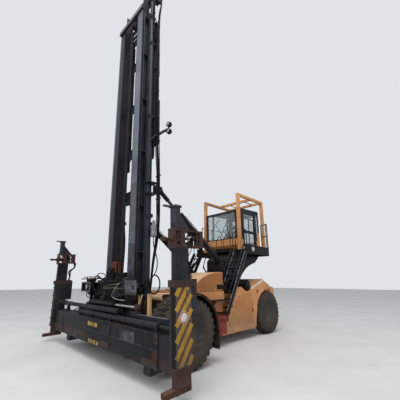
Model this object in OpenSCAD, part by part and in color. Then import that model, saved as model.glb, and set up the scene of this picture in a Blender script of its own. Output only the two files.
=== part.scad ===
// Empty container handler: a mast truck with a side-lift telescopic spreader.
// Millimetres, +Z up, +X forward, +Y to the machine's left, ground at Z = 0.

/* [Wheels] */
// Distance between the drive axle and the steer axle
wheelbase = 4550; // [4200:10:5000]
// Outer diameter of every tyre
tyre_d = 1370; // [1200:10:1500]
// Width of one tyre
tyre_w = 375; // [320:5:420]
// Diameter of the rim seat
rim_d = 640; // [560:10:700]
// Gap between the twin drive tyres
twin_gap = 50; // [30:5:90]
// Outer face of the outer drive tyre, from the centre line
drive_face_y = 2120; // [2000:10:2250]
// Outer face of the steer tyre, from the centre line
steer_face_y = 1200; // [1100:10:1300]
// Steering pin distance from the centre line
kingpin_y = 800; // [700:10:850]
// Radius of the drive axle housing
axle_r = 185; // [150:5:200]

/* [Chassis] */
// Rear face of the counterweight, behind the drive axle
rear_x = -5620; // [-5900:10:-5400]
// Outer face of each frame side plate
frame_y = 800; // [780:5:830]
// Thickness of each frame side plate
frame_t = 55; // [30:5:60]
// Outer face of the side panels
panel_y = 1150; // [1100:10:1250]
// Thickness of the sheet covers
sheet_t = 25; // [15:5:40]
// Half width of the deck hood
hood_y = 1100; // [1000:10:1150]
// Front of the deck hood
hood_x0 = -900; // [-1100:10:-700]
// Rear of the deck hood
hood_x1 = -2150; // [-2300:10:-2000]
// Top of the deck hood
hood_z = 1960; // [1850:10:2050]
// Inner radius of the drive wheel fenders
fender_r = 765; // [740:5:800]

/* [Cab] */
// Front of the cab at its waist
cab_x0 = -3450; // [-3600:10:-3300]
// Rear of the cab
cab_x1 = -4960; // [-5100:10:-4800]
// Half width of the cab
cab_y = 740; // [680:10:800]
// Underside of the cab
cab_z0 = 2760; // [2700:10:2900]
// Height of the waist line over the underside of the cab
cab_sill = 440; // [350:10:520]
// Top of the cab roof
cab_top = 4450; // [4300:10:4600]
// Wall thickness of the cab
cab_t = 50; // [40:5:70]
// Side of the square guard tube
guard_s = 90; // [70:5:120]
// Guard frame distance from the centre line
guard_y = 830; // [800:10:900]
// Top of the guard
guard_z = 4890; // [4800:10:5000]

/* [Mast] */
// Forward lean of the mast as it stands
mast_lean = 2.9; // [0:0.1:5]
// Mast datum ahead of the drive axle
mast_x = 200; // [180:5:260]
// Mast datum height
mast_z = 700; // [650:10:760]
// Tilt pin distance ahead of the mast datum
pivot_u = 100; // [80:5:140]
// Half width over the flanges of the outer rails
rail_y = 720; // [680:10:760]
// Depth of the outer rails
rail_u = 340; // [300:10:380]
// Thickness of the rail flanges and webs
rail_t = 30; // [20:1:40]
// Top of the outer rails above the datum
outer_top = 9600; // [9000:50:10000]
// Top of the inner rails above the datum
inner_top = 9800; // [9200:50:10100]
// Lower end of the rails below the datum
rail_low = -300; // [-400:10:-250]
// Front face of the inner rails
inner_u1 = 392; // [380:1:420]
// Lift cylinder distance from the centre line
lift_y = 690; // [680:5:695]
// Lift cylinder axis ahead of the mast datum
lift_u = 18; // [10:1:20]
// Outer radius of the lift barrels
lift_r = 86; // [80:1:88]
// Radius of the lift rods
lift_rod_r = 56; // [45:1:62]
// Lift of the inner mast above its rest
mast_stroke = 7000; // [5000:100:7200]
// Underside of the crosshead over the lift rods
head_w = 10250; // [10100:10:10400]

/* [Tilt cylinders] */
// Tilt cylinder distance from the centre line
tilt_y = 800; // [780:10:830]
// Anchor pin behind the drive axle
tilt_ax = -2350; // [-2450:10:-2250]
// Anchor pin height
tilt_az = 2300; // [2200:10:2400]
// Mast eye behind the mast datum
tilt_eu = -260; // [-280:5:-240]
// Mast eye height above the datum
tilt_ew = 3390; // [3300:10:3500]
// Outer radius of the tilt barrels
tilt_r = 85; // [70:5:95]
// Radius of the tilt rods
tilt_rod_r = 45; // [35:1:55]
// Radius of the tilt pins
tilt_pin_r = 35; // [30:1:45]

/* [Spreader] */
// Front face of the front beam ahead of the mast datum
beam_u1 = 904; // [880:1:930]
// Depth of each beam tube
beam_d = 190; // [180:2:192]
// Gap between the two beam tubes
beam_gap = 12; // [10:1:20]
// Underside of the beams
beam_w0 = -325; // [-340:5:-300]
// Top of the beams
beam_w1 = 205; // [190:5:230]
// Closed end of each beam tube from the centre line
beam_far = 2785; // [2700:5:2790]
// Open end of each beam tube from the centre line
beam_near = 2400; // [2300:10:2500]
// Wall of the beam tubes
beam_t = 12; // [8:1:16]
// Sliding clearance round each arm
arm_gap = 8; // [6:1:12]
// Inner face of the arm end plates
plate_y = 2795; // [2790:1:2810]
// Thickness of the arm end plates
plate_t = 25; // [20:1:40]
// Width of the post sleeves across the machine
sleeve_w = 150; // [146:1:160]
// Rear face of the post sleeves
sleeve_u0 = 670; // [660:5:690]
// Depth of the post sleeves
sleeve_d = 330; // [320:5:340]
// Lower end of the post sleeves
sleeve_w0 = -235; // [-240:5:-220]
// Top of the post sleeves
sleeve_w1 = 1070; // [1000:10:1100]
// Gap between the arm end plates and the post sleeves
sleeve_gap = 30; // [20:5:40]
// Wall of the post sleeves
sleeve_t = 12; // [10:1:14]
// Lower end of the sliding posts
post_w0 = -505; // [-510:5:-480]
// Top of the sliding columns
post_w1 = 1595; // [1550:5:1640]
// Distance from the centre line to each lock
lock_y = 2926.5; // [2900:0.5:2950]
// Height of the locks above the datum
lock_w = 1625; // [1600:5:1660]
// Radius of the lock shafts
lock_r = 28; // [24:1:32]

/* [Hidden] */
$fn = 48;
lean_s = sin(mast_lean);
lean_c = cos(mast_lean);
lock_tip_u = 1215;
lock_z = lock_w + 90;
lock_head_r = 50;
lock_head_h = 29;
head_w1 = 1885;

front_x = mast_x + lock_tip_u * lean_c + (lock_z + lock_head_h) * lean_s;
frame_dx = -(rear_x + front_x) / 2;
pivot_x = mast_x + pivot_u * lean_c;
pivot_z = mast_z - pivot_u * lean_s;
eye_x = mast_x + tilt_eu * lean_c + tilt_ew * lean_s;
eye_z = mast_z - tilt_eu * lean_s + tilt_ew * lean_c;
tilt_len = norm([eye_x - tilt_ax, eye_z - tilt_az]);
tilt_ang = atan2(eye_z - tilt_az, eye_x - tilt_ax);
tilt_barrel_len = 2050;
tilt_rod_len = 1500;
beam_u0 = beam_u1 - beam_d;
rear_u1 = beam_u0 - beam_gap;
rear_u0 = rear_u1 - beam_d;
cab_waist = cab_z0 + cab_sill;
sleeve_y0 = plate_y + plate_t + sleeve_gap;
sleeve_y1 = sleeve_y0 + sleeve_w;
sleeve_u1 = sleeve_u0 + sleeve_d;
post_y0 = sleeve_y0 + sleeve_t + arm_gap;
post_y1 = sleeve_y1 - sleeve_t - arm_gap;
post_u0 = sleeve_u0 + sleeve_t + arm_gap;
post_u1 = sleeve_u1 - sleeve_t - arm_gap;
pad_t = arm_gap - 0.4;
ext_r = 55;
ext_rod_r = 30;
ext_u = 820;
ext_l_w = 300;
ext_r_w = 435;
shift_u = 625;
shift_w = 512;
shift_r = 75;
shift_rod_r = 32;
tyre_r = tyre_d / 2;
drive_out_y = drive_face_y - tyre_w / 2;
drive_in_y = drive_out_y - tyre_w - twin_gap;
steer_y = steer_face_y - tyre_w / 2;
pin_gap = 0.4;
// Play of the tilt rod eye, for its drift of 2.4 mm over the range of the mast
eye_play = 3;
roller_gap = 0.3;
roller_u = (75 + inner_u1 - rail_t) / 2;
tow_r = 30;
mast_pin_r = 45;
king_r = 40;
body_peach = [0.84, 0.58, 0.36];
body_dark = [0.16, 0.17, 0.2];
body_black = [0.08, 0.08, 0.1];
body_rust = [0.33, 0.22, 0.17];
body_grey = [0.42, 0.42, 0.4];
body_red = [0.55, 0.13, 0.14];
body_steel = [0.75, 0.76, 0.78];
body_glass = [0.6, 0.7, 0.74, 0.5];
body_tyre = [0.3, 0.3, 0.29];

// Shared placing and shape helpers
module car() translate([frame_dx, 0, 0]) children();
module mast_frame() car() translate([mast_x, 0, mast_z]) rotate([0, mast_lean, 0]) children();
module both() { children(); mirror([0, 1, 0]) children(); }
module block(x0, x1, y0, y1, z0, z1)
  translate([x0, y0, z0]) cube([x1 - x0, y1 - y0, z1 - z0]);
module prism_y(pts, y0, y1)
  translate([0, y1, 0]) rotate([90, 0, 0]) linear_extrude(y1 - y0) polygon(pts);
module rod_y(x, z, y0, y1, r)
  translate([x, y0, z]) rotate([-90, 0, 0]) cylinder(r = r, h = y1 - y0);
module rod_x(y, z, x0, x1, r)
  translate([x0, y, z]) rotate([0, 90, 0]) cylinder(r = r, h = x1 - x0);
module rod_z(x, y, z0, z1, r) translate([x, y, z0]) cylinder(r = r, h = z1 - z0);
// A straight bar between two points
module bar(p, q, r) {
  d = q - p;
  translate(p) rotate([0, acos(d[2] / norm(d)), atan2(d[1], d[0])]) cylinder(r = r, h = norm(d));
}
module sphere_at(p, r) translate(p) sphere(r = r);
// A square tube in the XZ plane between two points, s wide, from y0 to y1
module beam_xz(p, q, s, y0, y1) {
  d = q - p;
  translate([p[0], 0, p[1]]) rotate([0, -atan2(d[1], d[0]), 0])
    block(-s / 2, norm(d) + s / 2, y0, y1, -s / 2, s / 2);
}

// Tyre section turned about Z, centred on Z = 0
module tyre_ring() {
  h = tyre_w / 2;
  r = tyre_r;
  b = rim_d / 2;
  rotate_extrude($fn = 64) polygon([[b, -h + 60], [b + 40, -h + 18], [b + 130, -h],
    [r - 110, -h + 4], [r - 28, -h + 30], [r, -h + 62], [r, h - 62], [r - 28, h - 30],
    [r - 110, h - 4], [b + 130, h], [b + 40, h - 18], [b, h - 60]]);
}
// Rim with a dished centre, hub side towards -Z
module rim_ring(dish) {
  b = rim_d / 2 - 0.3;
  h = tyre_w / 2;
  rotate_extrude($fn = 64) polygon([[0, dish - 20], [110, dish - 20], [110, dish - 5],
    [190, dish], [235, -30], [b - 25, -h + 70], [b - 25, -h + 40], [b + 22, -h + 28],
    [b + 22, -h + 16], [b - 45, -h + 22], [b - 55, -h + 60], [200, -60],
    [120, dish - 80], [0, dish - 80]]);
  rotate_extrude($fn = 64) polygon([[b - 35, -h + 60], [b, -h + 60], [b, h - 60],
    [b + 22, h - 28], [b + 22, h - 16], [b - 35, h - 40]]);
}
module wheel_at(x, y) translate([x, y, tyre_r]) rotate([-90, 0, 0]) children();

module main_frame() {
  color(body_peach) car() {
    both() difference() {
      prism_y([[-420, 480], [420, 480], [450, 620], [430, 900], [250, 1330], [-420, 1370],
        [-3600, 1300], [-3600, 620], [-1400, 560], [-700, 480]], frame_y - frame_t, frame_y);
      rod_y(0, tyre_r, frame_y - frame_t - 1, frame_y + 1, axle_r + 0.3);
    }
    // Cross members between the side plates
    for (c = [[-700, -640], [-1900, -1840], [-3460, -3400]])
      block(c[0], c[1], -frame_y + frame_t, frame_y - frame_t, 640, 1240);
    // Central spine over the steer axle
    block(-3600, -3560, -frame_y, frame_y, 700, 1295);
    block(-5350, -3560, -330, 330, 900, 1300);
    // Floor plate under the power pack
    block(-3560, -640, -frame_y + frame_t, frame_y - frame_t, 600, 640);
    // Front decks beside the mast and the brackets that carry them
    both() {
      block(-899.7, 180, frame_y, 1270, 1385, 1410);
      block(-870, 180, frame_y, frame_y + 30, 1330, 1385);
      block(-2150, -900, frame_y, 1200, 1175, 1200);
      prism_y([[-2150, 1176], [-1880, 1176], [-1690, 970], [-1740, 900], [-2110, 850]],
        1080, 1100);
      block(-2150, -2130, frame_y, 1100, 1090, 1176);
    }
    // Outrigger that carries the side panel foot and the boxes
    both() {
      block(-2420, -2340, frame_y, panel_y - sheet_t, 640, 760);
      block(-3560, -3480, frame_y, panel_y - sheet_t, 640, 760);
    }
    // Pins for the mast
    both() rod_y(pivot_x, pivot_z, rail_y - 65, frame_y + 15, mast_pin_r);
  }
}

module drive_axle() {
  color(body_black) car() {
    rod_y(0, tyre_r, -1250, 1250, axle_r);
    translate([-110, 0, tyre_r]) sphere(r = 285);
    both() {
      rod_y(0, tyre_r, 1180, 1255, 235);
      rod_y(0, tyre_r, 1200, drive_out_y - 60, 105);
    }
    // Input flange at the rear of the differential
    rod_x(0, tyre_r, -560, -300, 90);
  }
}

module steer_axle() {
  color(body_black) car() {
    x = -wheelbase;
    difference() {
      union() {
        block(x - 130, x + 130, -560, 560, tyre_r - 120, tyre_r + 120);
        both() {
          block(x - 110, x + 110, 540, kingpin_y + 60, tyre_r - 170, tyre_r - 110);
          block(x - 110, x + 110, 540, kingpin_y + 60, tyre_r + 110, tyre_r + 170);
          block(x - 110, x + 110, 540, 660, tyre_r - 170, tyre_r + 170);
        }
        // Cradle up to the spine
        block(x - 120, x + 120, -150, 150, tyre_r + 100, 900);
      }
      both() rod_z(x, kingpin_y, tyre_r - 200, tyre_r + 200, king_r + pin_gap);
    }
    // Steering cylinder behind the beam
    rod_y(x + 190, tyre_r, -330, 330, 70);
    block(x + 120, x + 190, -260, -200, tyre_r - 60, tyre_r + 60);
    block(x + 120, x + 190, 200, 260, tyre_r - 60, tyre_r + 60);
    rod_y(x + 190, tyre_r, -470, 470, 32);
  }
}

module counterweight() {
  color(body_peach) car() difference() {
    union() {
      prism_y([[-5350, 480], [rear_x + 90, 480], [rear_x, 620], [rear_x, 1380],
        [rear_x + 80, 1500], [-5350, 1500]], -800, 800);
      block(-5360, -3780, -330, 330, 1300, 1500);
      prism_y([[-4760, 1430], [-5350, 1430], [-5350, 1500], [-4760, 1520]], -620, 620);
    }
    // Tow pin pocket
    block(rear_x - 10, rear_x + 190, -90, 90, 640, 760);
    rod_z(rear_x + 130, 0, 470, 900, tow_r);
  }
}

module engine_block() {
  color(body_grey) car() block(-3350, -2350, -400, 400, 640, 1280);
}

// Outline of the side panel, from its front foot round to the arch over the steer wheel
panel_pts = [[-2010, 260], [-2830, 1530], [-3010, 1530], [-3150, 1440], [-3250, 1395],
  [-3400, 1390], [-3510, 1440], [-3570, 1540], [-wheelbase + 310, 1780],
  [-wheelbase - 190, 1550], [-wheelbase - 130, 1470], [-wheelbase + 150, 1420],
  [-wheelbase + 450, 1270], [-wheelbase + 620, 1090], [-wheelbase + 720, 900],
  [-wheelbase + 800, 600], [-wheelbase + 860, 290]];

module side_panels() {
  color(body_peach) car() both() {
    difference() {
      prism_y(panel_pts, panel_y - sheet_t, panel_y);
      // Shallow field that holds the mesh
      prism_y([[-2230, 420], [-2790, 1290], [-wheelbase + 990, 1370],
        [-wheelbase + 910, 1000], [-wheelbase + 950, 420]],
        panel_y - 5, panel_y + 5);
    }
    // Return flange round the wheel arch
    prism_y([[-wheelbase + 860, 290], [-wheelbase + 800, 600], [-wheelbase + 720, 900],
      [-wheelbase + 695, 890], [-wheelbase + 775, 595], [-wheelbase + 835, 290]],
      panel_y - 90, panel_y);
    // Mesh field latches
    for (p = [[-2270, 640], [-2480, 1010], [-wheelbase + 990, 820],
      [-wheelbase + 650, 1380]])
      block(p[0] - 25, p[0] + 25, panel_y - 6, panel_y + 12, p[1] - 35, p[1] + 35);
  }
}

module rear_hood() {
  color(body_peach) car() {
    // Lids between the side panels, open round the pedestal
    difference() {
      union() {
        prism_y([[-3600, 1547], [-wheelbase + 310, 1755], [-wheelbase - 190, 1525],
          [-wheelbase - 190, 1550], [-wheelbase + 310, 1780], [-3600, 1572]],
          -panel_y + sheet_t, panel_y - sheet_t);
        block(-3600, -3572, -panel_y + sheet_t, panel_y - sheet_t, 1301, 1572);
        // Inner wheel arch and the wall ahead of the steer wheels
        both() {
          block(-wheelbase + 870, -wheelbase + 895, 345, panel_y - sheet_t, 640, 1425);
          block(-wheelbase - 150, -wheelbase + 895, 340, panel_y - sheet_t, 1420, 1445);
          block(-wheelbase - 150, -wheelbase + 895, 331, 346, 1301, 1445);
        }
      }
      block(-3800, -3400, -500.5, 500.5, 1290, 1900);
    }
  }
}

module deck_hood() {
  color(body_peach) car() {
    difference() {
      union() {
        block(hood_x1, hood_x0, -hood_y, hood_y, 1200, hood_z);
        // Moulded step along the foot
        block(hood_x1 - 20, hood_x0 + 25, -hood_y - 25, hood_y + 25, 1200, 1330);
        block(hood_x1 - 10, hood_x0 + 12, -hood_y - 12, hood_y + 12, 1330, 1360);
      }
      block(hood_x1 + 40, hood_x0 - 40, -hood_y + 40, hood_y - 40, 1150, hood_z - 40);
      // Slots in both end walls for the frame side plates
      both() block(hood_x1 - 60, hood_x0 + 60, frame_y - frame_t - 0.5, frame_y + 0.5,
        1150, 1376);
      // Recess at the rear upper corner for the valve pocket
      block(hood_x1 - 50, hood_x1 + 260, hood_y - 160, hood_y + 60, 1480, 1600);
    }
  }
}

module fenders() {
  color(body_black) car() both() {
    intersection() {
      difference() {
        rod_y(0, tyre_r, 1270, drive_face_y + 10, fender_r + 25);
        rod_y(0, tyre_r, 1290, drive_face_y + 20, fender_r);
        rod_y(0, tyre_r, 1260, 1295, 695);
      }
      prism_y([[0, tyre_r], [900, tyre_r + 810], [900, 1700], [-900, 1700], [-900, tyre_r]],
        1200, drive_face_y + 20);
    }
    // Hanging rear flap
    block(-fender_r - 25, -fender_r, 1270, drive_face_y + 10, 290, tyre_r + 5);
  }
}

module side_boxes() {
  color(body_red) car() both() {
    difference() {
      block(-2040, -1620, 1010, 1300, 330, 780);
      block(-2050, -1610, 1285, 1310, 640, 652);
    }
    block(-1900, -1750, frame_y, 1011, 560, 660);
  }
}

module air_cleaner() {
  color(body_black) car() {
    rod_y(-3400, 1600, 540, 1120, 150);
    rod_y(-3400, 1600, 1119, 1140, 105);
    rod_y(-3400, 1600, 500.3, 541, 100);
    block(-3460, -3340, 600, 1000, 1307, 1470);
  }
}

module cab_pedestal() {
  // Distances of the bracket plates from the tilt cylinder's own plane
  in_y = [tilt_y - 135, tilt_y - 95];
  out_y = [tilt_y + 95, tilt_y + 135];
  color(body_black) car() {
    difference() {
      prism_y([[-3160, 1300.3], [-3160, 2390], [-3460, cab_z0 - 40], [-5140, cab_z0 - 40],
        [-5130, 2600], [-4880, 2400], [-4540, 2300], [-4300, 2190], [-4120, 2060],
        [-3960, 1920], [-3870, 1800], [-3800, 1680], [-3770, 1500], [-3770, 1300.3]],
        -500, 500);
      // Open middle between the two side plates
      prism_y([[-3200, 1340], [-3200, 2375], [-3480, cab_z0 - 100], [-3720, cab_z0 - 100],
        [-3720, 1340]], -440, 440);
    }
    both() {
      // Beams along the frame that carry the tilt cylinder brackets
      block(-3200, tilt_ax + 90, 420, in_y[1], 1331, 1420);
      block(tilt_ax - 20, tilt_ax + 90, 420, frame_y, 1331, 1420);
      prism_y([[tilt_ax - 260, 1331], [tilt_ax + 90, 1331], [tilt_ax + 90, tilt_az + 40],
        [tilt_ax + 40, tilt_az + 90], [tilt_ax - 60, tilt_az + 90],
        [tilt_ax - 260, tilt_az - 260]], in_y[0], in_y[1]);
      prism_y([[tilt_ax - 90, tilt_az - 250], [tilt_ax + 90, tilt_az - 250],
        [tilt_ax + 90, tilt_az + 40], [tilt_ax + 40, tilt_az + 90],
        [tilt_ax - 60, tilt_az + 90], [tilt_ax - 90, tilt_az + 60]], out_y[0], out_y[1]);
      block(tilt_ax - 90, tilt_ax + 90, in_y[0], out_y[1], tilt_az - 250, tilt_az - 170);
      rod_y(tilt_ax, tilt_az, in_y[0] - 5, out_y[1] + 5, tilt_pin_r);
    }
  }
}

// Front, rear and side of the platform, and the height of its rails
plat_x0 = -3290;
plat_x1 = -4850;
plat_y = 1180;
rail_z = 3840;
rail_x0 = -3590;
door_x0 = -3855;
door_x1 = -4695;
door_sill = 170;
module cab_platform() {
  color(body_dark) car() {
    z0 = cab_z0 - 40;
    // Deck under the cab and the walkways beside it
    block(plat_x1, plat_x0, -plat_y, plat_y, z0 + 0.3, z0 + 39.7);
    block(-5140, plat_x1 + 1, -890, 890, z0 + 0.3, z0 + 39.7);
    // Side rails: whole on the right, open on the left where the door swings
    for (z = [rail_z - 470, rail_z]) {
      bar([plat_x1 + 15, -plat_y + 10, z], [rail_x0, -plat_y + 10, z], 17);
      bar([plat_x1 + 15, plat_y - 10, z], [door_x1 - 55, plat_y - 10, z], 17);
      bar([door_x0 - 40, plat_y - 10, z], [rail_x0, plat_y - 10, z], 17);
    }
    rod_z(-4200, -plat_y + 10, cab_z0 + 155, rail_z, 17);
    for (x = [door_x1 - 55, door_x0 - 40])
      rod_z(x, plat_y - 10, cab_z0 + 155, rail_z, 17);
    both() {
      // Deep skirt along the side and returns at front and rear
      block(plat_x1, plat_x0, plat_y - 20, plat_y, cab_z0 - 150, cab_z0 + 160);
      block(plat_x0 - 20, plat_x0, 520, plat_y, cab_z0 - 150, z0 + 1);
      block(plat_x1, plat_x1 + 20, 520, plat_y, cab_z0 - 150, z0 + 1);
      block(plat_x1, plat_x1 + 20, 890, plat_y, z0 + 1, cab_z0 + 160);
      // End posts of the side rails and two bars round the rear corner
      for (x = [plat_x1 + 15, rail_x0])
        rod_z(x, plat_y - 10, cab_z0 + 155, rail_z, 17);
      rod_z(plat_x1 + 15, 905, z0 + 30, rail_z, 17);
      for (z = [rail_z - 470, rail_z])
        bar([plat_x1 + 15, 905, z], [plat_x1 + 15, plat_y - 10, z], 17);
    }
  }
}

// Ladder line from its foot to the platform, and its two stringers
ladder_p = [[-2170, 890], [-3190, 2660]];
ladder_y = [806, 1262];
module access_ladder() {
  color(body_black) car() both() {
    a = ladder_p[0];
    b = ladder_p[1];
    for (y = ladder_y) {
      beam_xz(a, b, 120, y, y + 20);
      block(plat_x0 + 0.3, b[0], y, y + 20, 2640, 2770);
    }
    for (i = [0:7]) {
      t = (i + 0.4) / 8;
      x = a[0] + (b[0] - a[0]) * t;
      z = a[1] + (b[1] - a[1]) * t;
      block(x - 85, x + 85, ladder_y[0] + 5, ladder_y[1] + 15, z - 13, z + 13);
    }
    // Foot that stands on a bracket of the frame side plate
    block(-2235, -2115, frame_y + 0.3, ladder_y[1] + 20, 815, 845);
    for (y = ladder_y) block(-2235, -2115, y, y + 20, 815, 900);
    // Handrails
    for (h = [[ladder_y[0] + 14, -2205, 1400], [ladder_y[1] + 24, -2060, 1150]]) {
      y = h[0];
      bar([h[1], y, h[2]], [-3080, y, 2910], 16);
      bar([-3080, y, 2910], [-3110, y, 3330], 16);
      bar([-3110, y, 3330], [-3235, y, 3380], 16);
      bar([-3235, y, 3380], [-3235, y, 2700], 16);
      bar([h[1], y, h[2]], [h[1] - 225, y, h[2] - 65], 14);
      bar([-2690, y, 2235], [-2925, y, 2180], 14);
      for (p = [[h[1], h[2]], [-3080, 2910], [-3110, 3330], [-3235, 3380]])
        sphere_at([p[0], y, p[1]], 19);
    }
  }
}

// Height of the rear quarter panels above the waist
quarter_h = 360;
module cab_shell() {
  color(body_peach) car() {
    difference() {
      prism_y([[cab_x0, cab_waist], [cab_x0 - 20, cab_z0 + 215], [cab_x0 - 260, cab_z0],
        [cab_x1, cab_z0], [cab_x1, cab_waist]], -cab_y, cab_y);
      prism_y([[cab_x0 - cab_t, cab_waist + 1], [cab_x0 - cab_t - 20, cab_z0 + 235],
        [cab_x0 - 290, cab_z0 + cab_t], [cab_x1 + cab_t, cab_z0 + cab_t],
        [cab_x1 + cab_t, cab_waist + 1]], -cab_y + cab_t, cab_y - cab_t);
      // Door opening on the left
      block(door_x1 - 5, door_x0 + 5, cab_y - cab_t - 1, cab_y + 1, cab_z0 + door_sill - 6, cab_waist + 1);
    }
    // Lower hinge knuckle of the door
    block(-4760, -4698, cab_y - 1, cab_y + 20, cab_z0 + 180, cab_z0 + 229.7);
    rod_z(-4695, cab_y + 14.5, cab_z0 + 180, cab_z0 + 229.7, 14);
    // Rear quarter panels above the waist
    both() prism_y([[cab_x1, cab_waist - 1], [cab_x1, cab_waist + quarter_h],
      [cab_x1 + 60, cab_waist + quarter_h], [cab_x1 + 190, cab_waist],
      [cab_x1 + 190, cab_waist - 1]], cab_y - cab_t, cab_y);
  }
}

module cab_frame() {
  color(body_dark) car() {
    z0 = cab_waist;
    z1 = cab_top;
    // Roof with a downward slope to the front
    difference() {
      prism_y([[cab_x0 + 40, z1 - 260], [cab_x0 + 40, z1 - 190], [cab_x0 - 320, z1 - 60],
        [cab_x1, z1], [cab_x1, z1 - 90], [cab_x0 - 320, z1 - 140]], -cab_y, cab_y);
    }
    // Corner posts
    both() {
      beam_xz([cab_x0 - 25, z0 + 26.3], [cab_x0 + 5, z1 - 240], 50, cab_y - cab_t, cab_y);
      beam_xz([-3800, z0 + 30.3], [-3800, z1 - 130], 60, cab_y - cab_t, cab_y);
      beam_xz([cab_x1 + 30, z0 + quarter_h + 30.3], [cab_x1 + 30, z1 - 60], 60,
        cab_y - cab_t, cab_y);
      beam_xz([-4740, z0 + 30.3], [-4740, z1 - 100], 60, cab_y - cab_t, cab_y);
    }
    // Upper hinge knuckle of the door
    block(-4760, -4698, cab_y - 1, cab_y + 20, 3450, 3499.7);
    rod_z(-4695, cab_y + 14.5, 3450, 3499.7, 14);
    // Screen bars at front and rear
    block(cab_x1, cab_x1 + 50, -cab_y + cab_t, cab_y - cab_t, z1 - 200, z1 - 60);
    block(cab_x1, cab_x1 + 50, -30, 30, z0 + 0.3, z1 - 100);
    block(cab_x0 - 45, cab_x0 + 5, -cab_y + cab_t, cab_y - cab_t, z0 + 0.3, z0 + 30);
  }
}

module cab_glass() {
  color(body_glass) car() {
    z0 = cab_waist;
    z1 = cab_top;
    // Front screen
    prism_y([[cab_x0 - 30, z0 + 30], [cab_x0 - 22, z0 + 30], [cab_x0 + 6, z1 - 253],
      [cab_x0 - 2, z1 - 253]], -cab_y + cab_t, cab_y - cab_t);
    // Side panes ahead of the doors and behind them
    both() {
      prism_y([[cab_x0 - 58, z0 + 0.3], [cab_x0 - 30, z1 - 246], [-3770, z1 - 145],
        [-3770, z0 + 0.3]], cab_y - 30, cab_y - 22);
      prism_y([[-4770.5, z0 + 25], [-4770.5, z1 - 103], [-4899, z1 - 100],
        [-4899, z0 + quarter_h + 6]], cab_y - 30, cab_y - 22);
    }
    // Right side pane in place of a door
    mirror([0, 1, 0]) block(-4709.5, -3830.5, cab_y - 30, cab_y - 22, z0 + 0.3, z1 - 140);
    // Rear panes
    block(cab_x1 + 20, cab_x1 + 28, -cab_y + cab_t, -30, z0 + 0.3, z1 - 200);
    block(cab_x1 + 20, cab_x1 + 28, 30, cab_y - cab_t, z0 + 0.3, z1 - 200);
  }
}

// Door leaf between the posts on the left
module cab_door() {
  color(body_dark) car() {
    y0 = cab_y - cab_t + 6;
    difference() {
      block(door_x1, door_x0, y0, cab_y, cab_z0 + door_sill, cab_top - 150);
      block(-4625, -3925, y0 - 1, cab_y + 1, 3560, cab_top - 230);
      block(-4625, -3925, y0 - 1, cab_y + 1, cab_z0 + door_sill + 100, 3460);
    }
    for (z = [cab_z0 + 230, 3500]) {
      rod_z(-4695, cab_y + 14.5, z, z + 130, 14);
      block(-4694, -4650, cab_y - 1, cab_y + 20, z, z + 130);
    }
    // Handle
    block(-3910, -3880, cab_y, cab_y + 40, 3440, 3560);
  }
}

module door_glass() {
  color(body_glass) car() {
    y0 = cab_y - 26;
    block(-4625, -3925, y0, y0 + 8, 3560, cab_top - 230);
    block(-4625, -3925, y0, y0 + 8, cab_z0 + door_sill + 100, 3460);
  }
}

module cab_interior() {
  color(body_black) car() {
    z0 = cab_z0 + cab_t + 0.3;
    block(-4500, -4050, -200, 200, z0, z0 + 260);
    block(-4560, -4020, -260, 260, z0 + 260, z0 + 400);
    prism_y([[-4560, z0 + 400], [-4440, z0 + 400], [-4560, z0 + 1120], [-4660, z0 + 1120]],
      -230, 230);
    block(-4620, -4520, -120, 120, z0 + 1120, z0 + 1300);
    both() block(-4480, -4100, 280, 360, z0 + 420, z0 + 520);
    both() block(-4400, -4300, 290, 350, z0, z0 + 420);
    // Steering column and wheel
    block(-3870, -3750, -60, 60, z0, z0 + 70);
    beam_xz([-3800, z0 + 62], [-3850, z0 + 700], 90, -50, 50);
    translate([-3865, 0, z0 + 752]) rotate([0, -20, 0]) rotate_extrude() translate([190, 0])
      circle(r = 16, $fn = 16);
    translate([-3865, 0, z0 + 752]) rotate([0, -20, 0]) {
      block(-185, 185, -18, 18, -8, 8);
      cylinder(r = 45, h = 30, center = true);
    }
  }
}

module cab_guard() {
  color(body_peach) car() {
    s = guard_s;
    y0 = guard_y - s / 2;
    y1 = guard_y + s / 2;
    fx = cab_x0 + 15;
    bx = -5040;
    z1 = guard_z;
    both() {
      block(fx - s, fx, y0, y1, cab_z0, z1);
      block(bx - s, bx, y0, y1, cab_z0, z1);
      block(bx - s, fx, y0, y1, z1 - s, z1);
    }
    // Cross tubes over the roof
    for (x = [-4300, bx]) block(x - s, x, -y0, y0, z1 - s, z1);
    both() block(bx - 1, -4300 - s + 1, 350, 420, z1 - 10, z1);
  }
}

module knuckle(side) {
  car() scale([1, side, 1]) {
    x = -wheelbase;
    rod_z(x, kingpin_y, tyre_r - 190, tyre_r + 190, king_r);
    block(x - 80, x + 80, kingpin_y - 75, kingpin_y + 75, tyre_r - 104, tyre_r + 104);
    rod_y(x, tyre_r, kingpin_y + 70, steer_y + 60, 55);
    // Steering arm
    block(x + 60, x + 230, kingpin_y - 30, kingpin_y + 30, tyre_r - 30, tyre_r + 30);
  }
}
module knuckle_L() color(body_black) knuckle(1);
module knuckle_R() color(body_black) mirror([0, 1, 0]) knuckle(1);

// Steer wheels, the hub bored for the stub
module steer_tyre() car() wheel_at(-wheelbase, steer_y) tyre_ring();
module steer_rim() car() difference() {
  wheel_at(-wheelbase, steer_y) mirror([0, 0, 1]) rim_ring(-40);
  rod_y(-wheelbase, tyre_r, kingpin_y, steer_y + 65, 56);
}
module steer_tyre_L() color(body_tyre) steer_tyre();
module steer_rim_L() color(body_dark) steer_rim();
module steer_tyre_R() color(body_tyre) mirror([0, 1, 0]) steer_tyre();
module steer_rim_R() color(body_dark) mirror([0, 1, 0]) steer_rim();

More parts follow.
